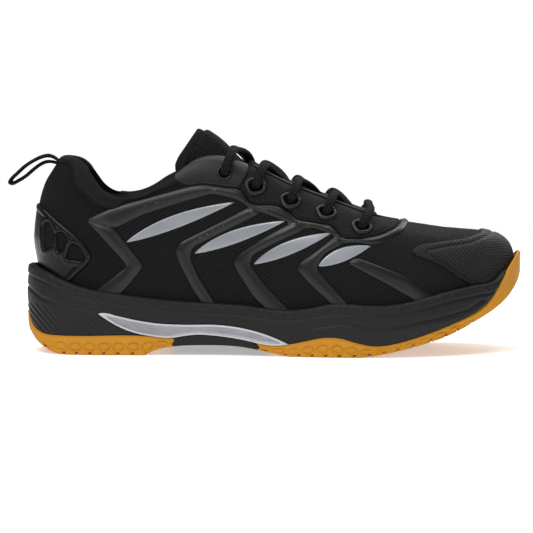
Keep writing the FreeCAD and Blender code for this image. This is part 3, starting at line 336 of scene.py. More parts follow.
class SoleWall:
    """The sole's upright side: u as on the upper, v its height in millimetres."""

    step = (0.25, 0.25)

    def __init__(self, count_u, low, high, count_v):
        turn = np.minimum(np.arange(TURNS), TURNS - np.arange(TURNS))
        flare = np.interp(turn, range(len(HEEL_FLARE)), HEEL_FLARE, right=0)
        self.outline = BASE + PLAN_NORMALS * (SOLE_FLANGE + flare)[:, None]
        self.u = np.linspace(0, ROUND, count_u, endpoint=False)
        self.v = np.linspace(low, high, count_v)
        u, v = np.meshgrid(self.u, self.v, indexing="ij")
        self.grid = self.point(u.ravel(), v.ravel()).reshape(count_u, count_v, 3)

    def point(self, u, v):
        return np.concatenate([weights(u) @ self.outline, v[:, None]], 1)

    def flat(self, u, v):
        return np.stack([u, v], 1)


def slopes(surface, u, v):
    """Position, and the vectors along u and v per unit."""
    du, dv = surface.step
    v = v + 0 * u
    here = surface.point(u, v)
    w = np.where(v > surface.v[-1] - dv, v - dv, v)
    along_v = (surface.point(u, w + dv) - surface.point(u, w)) / dv
    return here, (surface.point(u + du, v) - surface.point(u - du, v)) / (2 * du), along_v


def normals(along_u, along_v):
    return unit(np.cross(along_u, along_v))


# ---- outlines as distance fields


def rounded(points, radius):
    """The polygon with its corners cut and rounded."""
    p = np.asarray(points, float)
    out = []
    for before, here, after in zip(np.roll(p, 1, 0), p, np.roll(p, -1, 0)):
        room = min(radius, *(0.45 * np.linalg.norm(other - here) for other in (before, after)))
        start, end = (here + unit(other - here) * room for other in (before, after))
        out += [start * (1 - t) ** 2 + here * 2 * t * (1 - t) + end * t * t for t in (0, 0.25, 0.5, 0.75, 1)]
    return np.array(out)


def outline_field(points, radius=2.5):
    """Distance from a side-view outline, negative inside."""
    p = rounded(points, radius) if radius else np.asarray(points, float)
    low, high = p.min(0), p.max(0)
    margin, reach = 3.0, 9.0

    def field(at):
        x, z = at[:, 0], at[:, 2]
        found = margin + np.hypot(np.maximum(np.maximum(low[0] - x, x - high[0]), 0),
                                  np.maximum(np.maximum(low[1] - z, z - high[1]), 0))
        near = found < reach
        x, z = x[near], z[near]
        inside = np.zeros(len(x), bool)
        for a, b in zip(p, np.roll(p, -1, 0)):
            if a[1] != b[1]:
                inside ^= ((a[1] > z) != (b[1] > z)) & (x < (b[0] - a[0]) * (z - a[1]) / (b[1] - a[1]) + a[0])
        found[near] = np.where(inside, -1, 1) * polyline_distance(np.append(p, p[:1], 0), x, z)
        return found
    return field


def polyline_distance(points, x, z):
    best = np.full(np.shape(x), 1e9)
    for a, b in zip(points, points[1:]):
        dx, dz = b[0] - a[0], b[1] - a[1]
        length = dx * dx + dz * dz
        if length < 1e-12:
            continue
        t = np.clip(((x - a[0]) * dx + (z - a[1]) * dz) / length, 0, 1)
        best = np.minimum(best, (x - a[0] - t * dx) ** 2 + (z - a[1] - t * dz) ** 2)
    return np.sqrt(best)


def union(*fields):
    return lambda at: np.min([f(at) for f in fields], 0)


def both(*fields):
    return lambda at: np.max([f(at) for f in fields], 0)


def outside(field):
    return lambda at: -field(at)


def on_side(side):
    sign = 1 if side == LATERAL else -1
    return lambda at: sign * at[:, 1]


# ---- meshes


def mesh_of(name, points, quads, uvs, material, body, smooth_angle=50, zones=None):
    """An object from points in the shoe's millimetres and four-cornered faces, with uvs in millimetres."""
    quads = np.asarray(quads, np.int32)
    mesh = bpy.data.meshes.new(name)
    mesh.vertices.add(len(points))
    mesh.vertices.foreach_set("co", frame_of(points).astype(np.float32).ravel())
    mesh.loops.add(quads.size)
    mesh.loops.foreach_set("vertex_index", quads.ravel())
    mesh.polygons.add(len(quads))
    mesh.polygons.foreach_set("loop_start", np.arange(0, quads.size, 4, dtype=np.int32))
    mesh.polygons.foreach_set("use_smooth", np.ones(len(quads), bool))
    if zones is not None:
        mesh.polygons.foreach_set("material_index", np.asarray(zones, np.int32))
    if uvs is not None:
        mesh.uv_layers.new(name="mm").data.foreach_set("uv", np.asarray(uvs, np.float32).ravel())
    mesh.update(calc_edges=True)
    mesh.validate()
    mesh.set_sharp_from_angle(angle=math.radians(smooth_angle))
    for one in material if isinstance(material, list) else [material]:
        mesh.materials.append(one)
    obj = bpy.data.objects.new(name, mesh)
    bpy.context.scene.collection.objects.link(obj)
    if body:
        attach(obj, body)
    return obj


def stands_for(obj, nodes):
    """Hide the CAD nodes that a piece shows in their place."""
    if nodes:
        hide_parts(*nodes)
    return obj


def grid_quads(rows, columns, closed):
    """Faces between the points of rows * columns, from the last row back to the first if closed."""
    k, i = np.meshgrid(np.arange(rows if closed else rows - 1), np.arange(columns - 1), indexing="ij")
    low, high = (k * columns + i).ravel(), ((k + 1) % rows * columns + i).ravel()
    return np.stack([low, low + 1, high + 1, high], 1)


def border(quads, count):
    """The edges that only one face uses, in that face's direction."""
    edges = np.stack([quads, np.roll(quads, -1, 1)], 2).reshape(-1, 2).astype(np.int64)
    a, b = edges.T
    return edges[~np.isin(b * count + a, a * count + b)]


def shell(name, surface, field, height, floor, material, replaces=(), zone_of=None, smooth_angle=50):
    """A closed shell on a surface, inside a field, between a floor and a height above the surface."""
    du, dv = surface.step
    nu, nv = surface.grid.shape[:2]
    inside = field(surface.grid.reshape(-1, 3)).reshape(nu, nv) < 0
    i, j = np.meshgrid(np.arange(nu), np.arange(nv - 1), indexing="ij")
    i2 = (i + 1) % nu
    keep = inside[i, j] | inside[i2, j] | inside[i, j + 1] | inside[i2, j + 1]
    i, j, i2 = i[keep], j[keep], i2[keep]
    used, quads = np.unique(np.stack([i * nv + j, i2 * nv + j, i2 * nv + j + 1, i * nv + j + 1], 1),
                            return_inverse=True)
    quads = quads.reshape(-1, 4)
    u, v = surface.u[used // nv].copy(), surface.v[used % nv].copy()

    def steepness(here, pu, pv):
        """The field, how fast it changes along u and v, and the length of a unit of u and v."""
        lu, lv = np.linalg.norm(pu, axis=1), np.linalg.norm(pv, axis=1)
        f = field(here)
        return f, (field(here + pu * du) - f) / du / lu, (field(here + pv * dv) - f) / dv / lv, lu, lv

    # Points outside the outline that a kept face uses move onto the outline.
    moved = ~inside.ravel()[used]
    most_u, most_v = 2 * ROUND / nu, 2 * (surface.v[1] - surface.v[0])
    for _ in range(3):
        f, along_u, along_v, lu, lv = steepness(*slopes(surface, u[moved], v[moved]))
        step = -f / np.maximum(along_u ** 2 + along_v ** 2, 0.02)
        u[moved] += np.clip(step * along_u / lu, -most_u, most_u)
        v[moved] = np.clip(v[moved] + np.clip(step * along_v / lv, -most_v, most_v), surface.v[0], surface.v[-1])
    here, pu, pv = slopes(surface, u, v)
    f, along_u, along_v, _, _ = steepness(here, pu, pv)
    depth = np.where(moved, 0.0, np.maximum(-f, 0) / np.clip(np.hypot(along_u, along_v), 0.35, 1.0))
    n = normals(pu, pv)
    count = len(u)
    top = here + n * np.broadcast_to(height(depth, here, u, v), count)[:, None]
    edge = border(quads, count)
    walls = np.stack([edge[:, 1], edge[:, 0], edge[:, 0] + count, edge[:, 1] + count], 1)
    flat = surface.flat(u, v)
    corner = flat[quads]
    corner[i == nu - 1, 1:3, 0] += surface.flat(np.array([ROUND]), np.array([0.0]))[0, 0]
    uvs = np.concatenate([corner, corner[:, ::-1], flat[edge[:, [1, 0, 0, 1]]]])
    zones = None
    if zone_of:
        face_zones, edge_zones = (zone_of(depth[part].mean(1), here[part].mean(1)) for part in (quads, edge))
        zones = np.concatenate([face_zones, face_zones, edge_zones])
    obj = mesh_of(name, np.concatenate([top, here + n * floor]),
                  np.concatenate([quads, quads[:, ::-1] + count, walls]), uvs, material, "shoe", smooth_angle, zones)
    return stands_for(obj, replaces)


# ---- materials


class Graph:
    """A material's nodes, in few words."""

    def __init__(self, name, uv=True):
        self.mat = bpy.data.materials.new(name)
        self.mat.use_nodes = True
        self.tree = self.mat.node_tree
        self.shader = self.tree.nodes["Principled BSDF"]
        if uv:
            self.flat = self.add("ShaderNodeUVMap", uv_map="mm").outputs[0]
        else:
            scale = self.add("ShaderNodeVectorMath", operation="SCALE")
            self.feed(scale.inputs[0], self.add("ShaderNodeTexCoord").outputs["Object"])
            self.feed(scale.inputs["Scale"], 1000.0)
            self.flat = scale.outputs[0]
        split = self.add("ShaderNodeSeparateXYZ")
        self.feed(split.inputs[0], self.flat)
        self.s, self.t = split.outputs[:2]

    def add(self, kind, **settings):
        node = self.tree.nodes.new(kind)
        for key, value in settings.items():
            setattr(node, key, value)
        return node

    def feed(self, socket, value):
        if isinstance(value, (int, float)):
            socket.default_value = value
        elif isinstance(value, tuple):
            socket.default_value = (*value, 1)
        else:
            self.tree.links.new(value, socket)

    def math(self, operation, *values):
        node = self.add("ShaderNodeMath", operation=operation)
        for socket, value in zip(node.inputs, values):
            self.feed(socket, value)
        return node.outputs[0]

    def textured(self, kind, **inputs):
        node = self.add(kind)
        for key, value in {"Vector": self.flat, **inputs}.items():
            self.feed(node.inputs[key], value)
        return node

    def noise(self, scale, detail=2.0, rough=0.5):
        return self.textured("ShaderNodeTexNoise", Scale=scale, Detail=detail, Roughness=rough).outputs[0]

    def cells(self, scale):
        return self.textured("ShaderNodeTexVoronoi", Scale=scale).outputs["Distance"]

    def times_plus(self, value, factor, extra):
        return self.math("MULTIPLY_ADD", value, factor, extra)

    def wave(self, value, period):
        """Sine of a length over its period."""
        return self.math("SINE", self.math("MULTIPLY", value, 2 * math.pi / period))

    def zigzag(self, period):
        return self.math("ABSOLUTE", self.wave(self.s, period))

    def ramp(self, value, low, high, to_low=0.0, to_high=1.0):
        node = self.add("ShaderNodeMapRange", interpolation_type="SMOOTHSTEP")
        for socket, number in zip(node.inputs, (value, low, high, to_low, to_high)):
            self.feed(socket, number)
        return node.outputs[0]

    def blend(self, factor, a, b):
        node = self.add("ShaderNodeMix", data_type="RGBA")
        for key, value in (("Factor", factor), (6, a), (7, b)):
            self.feed(node.inputs[key], value)
        return node.outputs[2]

    def diamonds(self, across, up):
        """0 on the threads of a diamond net and 1 in the middle of its cells."""
        a, b = self.math("DIVIDE", self.s, across), self.math("DIVIDE", self.t, up)
        lines = [self.wave(self.math(sign, a, b), 2.0) for sign in ("ADD", "SUBTRACT")]
        return self.math("ABSOLUTE", self.math("MULTIPLY", *lines))

    def finish(self, color, roughness, height, distance, strength, gloss=0.5, **constants):
        """The material with this bump height, in metres, and other constants by their socket's name."""
        bump, sockets = self.add("ShaderNodeBump"), self.shader.inputs
        for socket, value in (
                (sockets["Base Color"], color), (sockets["Roughness"], roughness),
                (sockets["Specular IOR Level"], gloss), (sockets["Normal"], bump.outputs[0]),
                (bump.inputs["Strength"], strength), (bump.inputs["Distance"], distance),
                (bump.inputs["Height"], height),
                *((sockets[key.replace("_", " ")], value) for key, value in constants.items())):
            self.feed(socket, value)
        return self.mat


def black(level, blue=1.06):
    """A neutral dark colour, a little bluer than grey."""
    return level, level, level * blue


def scaled(color, factor, extra=0.0):
    return tuple(min(1, c * factor + extra) for c in color)


def open_mesh(name, across, up, hole=(0.45, 0.75), deep=0.0006, thread=0.0062):
    """A knitted net of black thread whose open cells are painted near black: painted shade in the net's holes."""
    g = Graph(name)
    opening = g.ramp(g.diamonds(across, up), *hole)
    fuzz = g.noise(2.2, 3)
    yarn = g.blend(fuzz, black(thread * 0.7), black(thread * 1.35))
    fine = g.math("MULTIPLY", g.wave(g.s, 0.55), g.wave(g.t, 0.5))
    height = g.times_plus(fine, 0.12, g.math("SUBTRACT", 1.0, opening))
    # Yarn colour on the threads, painted shade in the open cells.
    return g.finish(g.blend(opening, yarn, black(0.001, 1.1)), g.ramp(fuzz, 0.2, 0.8, 0.62, 0.82), height, deep, 0.9,
                    gloss=0.16)


def knit(name, wale, course, dark=0.002, light=0.0085, deep=0.0004, gloss=0.14):
    """Fine columns of V-shaped stitches, painted darker where they are low: painted shade between the stitches, with
    tone that differs at random.
    """
    g = Graph(name)
    lean = g.zigzag(2 * wale)
    rows = g.wave(g.times_plus(lean, 0.55 * course, g.t), course)
    fuzz = g.noise(0.9, 4, 0.6)
    height = g.math("MULTIPLY", g.times_plus(rows, 0.35, 0.65), g.ramp(lean, 0.0, 0.5))
    # The colour follows the stitches' height: painted shade in their low parts.
    color = g.blend(g.math("MULTIPLY", height, g.times_plus(fuzz, 0.8, 0.5)), black(dark, 1.1), black(light))
    return g.finish(color, g.ramp(fuzz, 0.2, 0.8, 0.66, 0.86), height, deep, 0.8, gloss=gloss)


def moulded(name, color, rough, grain=1.6, deep=0.00008, uv=True, **constants):
    """Smooth moulded plastic with fine grain and slight wear."""
    g = Graph(name, uv)
    fine = g.noise(grain, 3, 0.65)
    rub = g.ramp(g.noise(0.35, 5, 0.7), 0.6, 0.85)
    tint = g.blend(g.noise(0.03, 3), scaled(color, 0.82), scaled(color, 1.18))
    tint = g.blend(g.math("MULTIPLY", rub, 0.08), tint, scaled(color, 2.2, 0.01))
    return g.finish(tint, g.ramp(fine, 0.3, 0.7, rough - 0.06, rough + 0.07), fine, deep, 0.6, **constants)


def beaded(name, net, edge, fine_scale, fine_rough, colors, rough, gloss):
    """Black skin with a net of small raised diamonds, painted lighter on their raised middles and darker in the
    grooves: painted highlight and painted shade.
    """
    g = Graph(name)
    bead = g.ramp(g.diamonds(*net), *edge)
    fine = g.noise(fine_scale, 3, fine_rough)
    return g.finish(g.blend(bead, *colors), g.ramp(fine, 0.3, 0.7, *rough), bead, 0.0004, 0.9,
                    gloss=gloss)


def foam_finish(name, uv=True):
    """Skinned midsole foam: matt black with a fine stipple."""
    g = Graph(name, uv)
    fine = g.noise(2.4, 3, 0.6)
    color = g.blend(g.noise(0.045, 3), black(0.004), black(0.0065))
    return g.finish(color, g.ramp(fine, 0.3, 0.7, 0.46, 0.62), g.times_plus(g.cells(1.1), 0.5, fine), 0.00022, 0.7,
                    gloss=0.3)


def rim_finish():
    g = Graph("midsole_rim")
    # The stipple's raised dots are painted lighter than the hollows round them: a painted highlight on the rim's
    # bevel.
    dots = g.ramp(g.cells(0.75), 0.15, 0.5)
    color = g.blend(dots, black(0.012), black(0.004))
    return g.finish(color, g.ramp(g.noise(2.0, 3), 0.3, 0.7, 0.5, 0.66), g.math("SUBTRACT", 1.0, dots), 0.0003, 0.9,
                    gloss=0.3)


def gum_finish(name, uv=True):
    g = Graph(name, uv)
    fine = g.noise(1.7, 4, 0.6)
    scuff = g.ramp(g.noise(0.4, 5, 0.7), 0.58, 0.8)
    color = g.blend(g.noise(0.05, 4, 0.6), (0.45, 0.185, 0.009), (0.58, 0.265, 0.014))
    color = g.blend(g.math("MULTIPLY", scuff, 0.2), color, (0.3, 0.11, 0.008))
    return g.finish(color, g.ramp(fine, 0.3, 0.7, 0.48, 0.64), fine, 0.00012, 0.6, gloss=0.22)


def silver_finish():
    g = Graph("silver_plastic")
    ribs = g.math("ABSOLUTE", g.wave(g.times_plus(g.t, 1.5, g.s), 5.2))
    line = g.ramp(ribs, 0.0, 0.3)
    cloud = g.noise(0.09, 3)
    color = g.blend(cloud, (0.19, 0.195, 0.21), (0.34, 0.345, 0.37))
    # The rib grooves are painted a little darker: painted shade in the grooves. The cloud is tone that differs at
    # random.
    color = g.blend(g.math("MULTIPLY", g.math("SUBTRACT", 1.0, line), 0.1), color, (0.17, 0.17, 0.2))
    return g.finish(color, g.ramp(cloud, 0.2, 0.8, 0.34, 0.46), line, 0.0001, 0.4, Metallic=0.2)


def film_finish():
    g = Graph("grey_film")
    brushed = g.noise(0.5, 4, 0.6)
    color = g.blend(g.noise(0.03), (0.2, 0.215, 0.235), (0.35, 0.365, 0.385))
    return g.finish(color, g.ramp(brushed, 0.3, 0.7, 0.3, 0.44), brushed, 0.00004, 0.5, Metallic=0.35)


def braid(name, around, pitch=2.4):
    """Braided cord: t runs along it and s round it."""
    g = Graph(name)
    rows = g.wave(g.times_plus(g.zigzag(around), pitch * 0.7, g.t), pitch)
    yarn = g.wave(g.math("SUBTRACT", g.s, g.t), 0.5)
    fuzz = g.noise(1.6, 4, 0.6)
    height = g.times_plus(yarn, 0.12, g.times_plus(rows, 0.5, 0.5))
    # The colour follows the braid's height: painted shade between the plaits, with tone that differs at random.
    color = g.blend(g.math("MULTIPLY", height, g.times_plus(fuzz, 0.7, 0.55)), black(0.0012), black(0.011, 1.07))
    return g.finish(color, g.ramp(fuzz, 0.2, 0.8, 0.62, 0.85), height, 0.0005, 0.9, gloss=0.16)


def webbing_finish():
    """Flat woven tape: a herringbone."""
    g = Graph("black_webbing")
    twill = g.wave(g.times_plus(g.zigzag(4.4), 1.6, g.t), 1.3)
    fuzz = g.noise(1.4, 4, 0.6)
    # The colour is darker in the twill's low lines: painted shade, with tone that differs at random.
    color = g.blend(g.math("MULTIPLY", fuzz, g.times_plus(twill, 0.4, 0.6)), black(0.002, 1.1), black(0.013, 1.08))
    return g.finish(color, g.ramp(fuzz, 0.2, 0.8, 0.6, 0.82), twill, 0.0003, 0.9, gloss=0.16)


def insole_finish():
    g = Graph("insole_textile")
    dots = g.ramp(g.math("MULTIPLY", g.wave(g.s, 7.0), g.wave(g.t, 7.0)), 0.78, 0.92)
    twill = g.wave(g.math("ADD", g.s, g.t), 0.9)
    fuzz = g.noise(0.7, 4, 0.6)
    # The recessed dots are painted near black: painted shade in the dimples.
    color = g.blend(dots, g.blend(fuzz, black(0.006, 1.08), black(0.018, 1.08)), black(0.001, 1.0))
    height = g.times_plus(twill, 0.15, g.math("SUBTRACT", 1.0, dots))
    return g.finish(color, g.ramp(fuzz, 0.2, 0.8, 0.75, 0.92), height, 0.0005, 0.8, gloss=0.16)


def make_materials():
    return {
        "vamp": open_mesh("black_mesh", 3.3, 2.3),
        "toe_mesh": open_mesh("toe_mesh", 2.3, 1.7, (0.55, 0.85), 0.0004),
        "knit": knit("black_knit", 0.95, 1.5),
        "lining": knit("lining_textile", 0.7, 0.9, 0.003, 0.012, 0.00025, 0.18),
        "cage": moulded("black_cage", black(0.0045), 0.36, 2.0, 0.00006, gloss=0.36),
        "heel_cage": moulded("black_heel_cage", black(0.0025), 0.33, 2.0, 0.00004, gloss=0.24),
        "synthetic": moulded("black_synthetic", black(0.0055), 0.44, 1.2, 0.00016, gloss=0.3),
        "film": film_finish(),
        "toe": beaded("toe_rubber", (2.6, 1.9), (0.1, 0.75), 1.8, 0.5, (black(0.002), black(0.008)),
                      (0.4, 0.56), 0.28),
        "foam": foam_finish("black_foam"),
        "grip": beaded("black_foam_grip", (2.1, 1.7), (0.15, 0.7), 2.4, 0.6, (black(0.0025), black(0.011)),
                       (0.42, 0.58), 0.34),
        "eyestay": open_mesh("eyestay_mesh", 2.6, 2.1, (0.4, 0.75), 0.0005, 0.011),
        "foam_cad": foam_finish("black_foam_core", uv=False),
        "rim": rim_finish(),
        "gum": gum_finish("gum_rubber"),
        "gum_cad": gum_finish("gum_rubber_tread", uv=False),
        "silver": silver_finish(),
        # A pale band round the shank blade: a painted highlight along its bevelled edge.
        "painted_highlight_edge": moulded("silver_edge_painted_highlight", (0.5, 0.5, 0.53), 0.34, 1.5, 0.00003),
        "silver_cad": moulded("silver_plate", (0.5, 0.5, 0.54), 0.32, 1.5, 0.00004, uv=False, Metallic=0.3),
        "lace": braid("lace_textile", 4.2),
        "webbing": webbing_finish(),
        "yarn": moulded("pale_yarn", (0.1, 0.105, 0.11), 0.6, 3.0, 0.0001),
        "binding": knit("binding_textile", 0.8, 1.1, 0.002, 0.009, 0.0003),
        "tongue": open_mesh("tongue_mesh", 3.4, 2.6, (0.35, 0.6), 0.0009),
        "insole": insole_finish(),
        "eyelet": moulded("eyelet_plastic", black(0.005), 0.36, 2.0, 0.00005, gloss=0.36),
        "aglet": moulded("aglet_plastic", black(0.012, 1.08), 0.22, 1.0, 0.00002, uv=False, Coat_Weight=0.5),
        "thread": moulded("stitch_thread", black(0.012, 1.08), 0.6, 4.0, 0.0001, uv=False, gloss=0.2),
        "hidden": moulded("hidden_foam", black(0.05), 0.9, 1.5, 0.0004, uv=False),
        "board": moulded("board_textile", (0.16, 0.155, 0.14), 0.92, 2.5, 0.0004, uv=False),
    }


# ---- the upper's shells

UPPER = Upper(1150, 170)
MAT = make_materials()
SIDES = (LATERAL, MEDIAL)


def find_on(x, z, side):
    """(u, v) of the outer face's point that is seen at x, z from one side."""
    grid = UPPER.grid
    gap = np.hypot(grid[..., 0] - x, grid[..., 2] - z) + 1e9 * ((grid[..., 1] < 0) != (side == LATERAL))
    i, j = np.unravel_index(np.argmin(gap), gap.shape)
    u, v = UPPER.u[[i]], UPPER.v[[j]]
    for _ in range(4):
        here, pu, pv = slopes(UPPER, u, v)
        a = np.stack([pu[0, [0, 2]], pv[0, [0, 2]]], 1)
        if abs(np.linalg.det(a)) < 1e-3:
            break
        move = np.linalg.solve(a, [x - here[0, 0], z - here[0, 2]])
        u = u + np.clip(move[0], -2, 2)
        v = np.clip(v + np.clip(move[1], -0.03, 0.03), 0, 1)
    return u, v


def spot(x, z, side):
    """Point, normal, and the directions along and up the upper."""
    here, pu, pv = slopes(UPPER, *find_on(x, z, side))
    n, up = normals(pu, pv)[0], unit(pv[0])
    return here[0], n, np.cross(up, n), up


EYELET_SPOTS = {side: [spot(x, z, side) for x, z in EYELETS] for side in SIDES}


def holes(radius):
    """Round every eyelet: negative inside its hole."""
    def field(at):
        best = np.full(len(at), 50.0)
        for here, n, _, _ in EYELET_SPOTS[LATERAL] + EYELET_SPOTS[MEDIAL]:
            gap = at - here
            far = np.where(np.abs(gap @ n) > 12, 50, 0)
            best = np.minimum(best, np.linalg.norm(gap - (gap @ n)[:, None] * n, axis=1) - radius + far)
        return best
    return field


def bevelled(lift, thick, width, crown=0.0):
    """A height that rises from an edge over a width, then crowns slowly."""
    return lambda depth, here, u, v: lift + thick * round_over(depth, width) + crown * (1 - np.exp(-depth / 3.0))


def heel_fullness(here):
    """How much fuller the padded heel is at the back than its pattern."""
    x, z = here[:, 0], here[:, 2]
    most = 3.0
    return most * smooth(46, 70, z) * smooth(113.5, 98, z) * smooth(30, 6, x)


def make_textiles():
    heel = outline_field(HEEL_PANEL, 0)
    back = outline_field([(-20, 0), (99, 0), (99, 140), (-20, 140)], 0)
    open_holes = holes(3.3)

    def cloth(depth, here, u, v):
        s, t = UPPER.flat(u, v).T
        return 0.16 * cell_noise(s / 16, t / 11, 1) + 0.07 * cell_noise(s / 5, t / 4, 2)

    def full_cloth(depth, here, u, v):
        return cloth(depth, here, u, v) + heel_fullness(here)
    shell("vamp_mesh_cloth", UPPER, both(outside(heel), outside(open_holes)), cloth, CLOTH_BACK,
          [MAT["vamp"], MAT["toe_mesh"]], ["vamp_mesh"],
          zone_of=lambda depth, here: (here[:, 0] > TOE_MESH_START).astype(int))
    shell("heel_panel_knit", UPPER, heel, full_cloth, CLOTH_BACK, MAT["knit"], ["heel_panel"])
    shell("vamp_lining_cloth", UPPER, both(outside(back), outside(open_holes)),
          lambda depth, here, u, v: LINING_FACE, LINING_BACK, MAT["lining"], ["vamp_lining"])


def make_overlays():
    cages = {name: outline_field(points, 3.5) for name, points in CAGE_BANDS.items()}
    panels = (("top_patch", EYESTAY_PATCH, "synthetic"), ("eyestay", EYESTAY_PANEL, "eyestay"))

    def ridge(depth, here, u, v):
        return 0.12 + 0.62 * round_over(depth, 1.1) + 0.95 * (1 - np.exp(-np.maximum(depth - 0.6, 0) / 2.1))
    for side in SIDES:
        half = on_side(side)
        shell(f"cage_{side}_moulding", UPPER, both(union(*cages.values()), half), ridge, OVERLAY_BACK, MAT["cage"],
              [f"cage_{side}"], smooth_angle=38)
        for number, tips in enumerate(ACCENT_LEAVES, 1):
            leaf = both(outline_field(leaf_outline(*tips), 0), outside(cages["top"]), half)
            shell(f"accent_leaf_{side}_{number}", UPPER, leaf, bevelled(0.1, 0.38, 0.7, 0.12), -0.2, MAT["film"],
                  [f"accent_films_{side}"] if number == 1 else [])
        for label, outline, finish in panels:
            panel = both(outline_field(outline, 2.0), half, outside(holes(3.5)))
            shell(f"{label}_{side}_panel", UPPER, panel, bevelled(0.12, 0.62, 0.8), OVERLAY_BACK, MAT[finish],
                  [f"{label}_{side}"])


def leaf_outline(rear, front):
    """A pointed leaf between two tips: its upper edge forwards, then its lower edge back."""
    rear, way = np.array(rear, float), np.subtract(front, rear)
    across = np.array([-way[1], way[0]]) / math.hypot(*way)
    t = np.linspace(0, 1, 33)[:, None]
    bow = across * np.sin(math.pi * t ** 0.86) ** 0.86
    upper, lower = rear + way * t + bow * LEAF_UPPER_BOW, rear + way * t - bow * LEAF_LOWER_BOW
    return np.concatenate([upper, lower[-2:0:-1]])


TOE_GROOVE = [(296, 40), (270, 41), (262, 45.5), (250, 53.5), (237.5, 60), (238.5, 61.8), (251, 63.9), (264, 65.4),
              (274.4, 68.5), (279.6, 70.6), (284, 80)]


def make_toe_cap():
    def height(depth, here, u, v):
        line = polyline_distance(TOE_GROOVE, here[:, 0], here[:, 2])
        return 0.12 + round_over(depth, 1.2) - 0.62 * groove(line, 0.75)

    def below_rim(at):
        return along(RIM_LINE, at[:, 0]) - 1.8 - at[:, 2]
    shell("toe_cap_rubber", UPPER, both(outline_field(TOE_CAP), below_rim), height, OVERLAY_BACK,
          MAT["toe"], ["toe_cap"])


def make_heel_cage():
    windows = union(*[outline_field(w, 1.6) for w in HEEL_CAGE_WINDOWS])

    def height(depth, here, u, v):
        return 0.1 + 1.5 * round_over(depth, 1.5) - 0.5 * smooth(2.4, 4.2, depth) + heel_fullness(here)
    shell("heel_cage_moulding", UPPER, both(outline_field(HEEL_CAGE, 4.0), outside(windows)), height,
          OVERLAY_BACK, MAT["heel_cage"], ["heel_cage"], smooth_angle=42)


# ---- collar

COLLAR_REACH = 5.55


def station_of(u):
    """How many stations u is from the heel's centre."""
    i = np.interp(np.mod(u, ROUND), KNOTS, np.arange(TURNS + 1))
    return np.minimum(i, TURNS - i)


def upright(pu, pv):
    """Outward normals and the upward direction, kept level where the wall leans out."""
    n = normals(pu, pv)
    level = unit(np.stack([pu[:, 1], -pu[:, 0], 0 * pu[:, 0]], 1))
    level *= np.sign((level * n).sum(1) + 1e-9)[:, None]
    lean = smooth(0.3, -0.05, n[:, 2])[:, None]
    n = unit(n * (1 - lean) + level * lean)
    rise = unit(np.cross(pu, n))
    return n, rise * np.sign(rise[:, 2])[:, None]


def collar_depth(u, v):
    """How thick the padding is: fullest under the edge, thin at the front ends and towards the footbed."""
    thin, full = 2.6, 5.6
    reach = np.clip((5.6 - station_of(u)) / 2, 0, 1)
    return thin + full * smooth(0.38, 0.72, v) * (0.45 + 0.55 * np.clip((1.0 - v) / 0.16, 0, 1)) * reach


def collar_seam(u):
    """Level of the binding's outside seam at each u."""
    wrap = outline_field(COLLAR_WRAP, 3.0)
    v = np.linspace(0.55, 1.0, 91)
    found = []
    for one in u:
        hit = np.nonzero(wrap(UPPER.point(np.full(len(v), one), v)) < 0)[0]
        found.append(v[hit[0]] if len(hit) else 0.985)
    kernel = np.hanning(9)
    return np.convolve(np.pad(found, 4, mode="edge"), kernel / kernel.sum(), mode="valid")


def make_collar():
    """The padded collar: its cloth starts at the outside seam, rolls over the edge and goes down to the footbed."""
    reach = np.interp([TURNS - COLLAR_REACH, COLLAR_REACH], np.arange(TURNS + 1), KNOTS) + [0, ROUND]
    u = np.linspace(*reach, 360)
    seam = collar_seam(u)
    tucked = 1 - smooth(0, 11, np.minimum(u - u[0], u[-1] - u))
    tuck, thick, roll = 1.1, 3.5, 1.9
    rows = []

    def row(v, out, up=0.0, down=0.0):
        """One line of the cloth: its level, how far it lies out and up, and its share of the way to the footbed."""
        rows.append((v + 0 * u, out + 0 * u, up + 0 * u, down))
    for share in np.linspace(0, 1, 13):
        row(seam + (1 - seam) * share, 0.25 + 0.75 * math.sin(math.pi / 2 * min(1, share * 3)) - tuck * tucked)
    for angle in np.linspace(0, math.pi, 11)[1:-1]:
        c = math.cos(angle)
        row(1.0, (1 - thick) / 2 + (thick + 1) / 2 * c - tuck * tucked * (1 + c) / 2,
            roll * math.sin(angle) * (1 - 0.7 * tucked))
    for v in np.linspace(1, 0, 60):
        quilt = 0.35 * groove(v - 0.52, 0.02) * np.clip(5.2 - station_of(u), 0, 1)
        row(v, quilt - 0.8 - collar_depth(u, v))
    for share in np.linspace(0.1, 1, 10):
        row(0, LINING_BACK, down=share)
    for share in (1.0, 0.5, 0.0):
        row(0, LINING_FACE, down=share)
    for share in np.linspace(0.125, 1, 8):
        row(seam * share, LINING_FACE)
    points = []
    for v, out, up, down in rows:
        here, pu, pv = slopes(UPPER, u, v)
        n, rise = upright(pu, pv)
        p = here + n * out[:, None] + rise * up[:, None]
        p[:, 2] -= down * np.maximum(p[:, 2] - along(FOOTBED_LINE, p[:, 0]) - 0.3, 0)
        points.append(p)
    points = np.array(points)
    gone = gone_along(points)
    obj = closed_loft("collar_padding", points, np.stack([np.broadcast_to(u, gone.shape), gone], 2), MAT["lining"])
    stands_for(obj, ["collar_lining", "collar_foam"])
    tube("collar_piping", points[0], (0.75, 0.75), MAT["binding"])


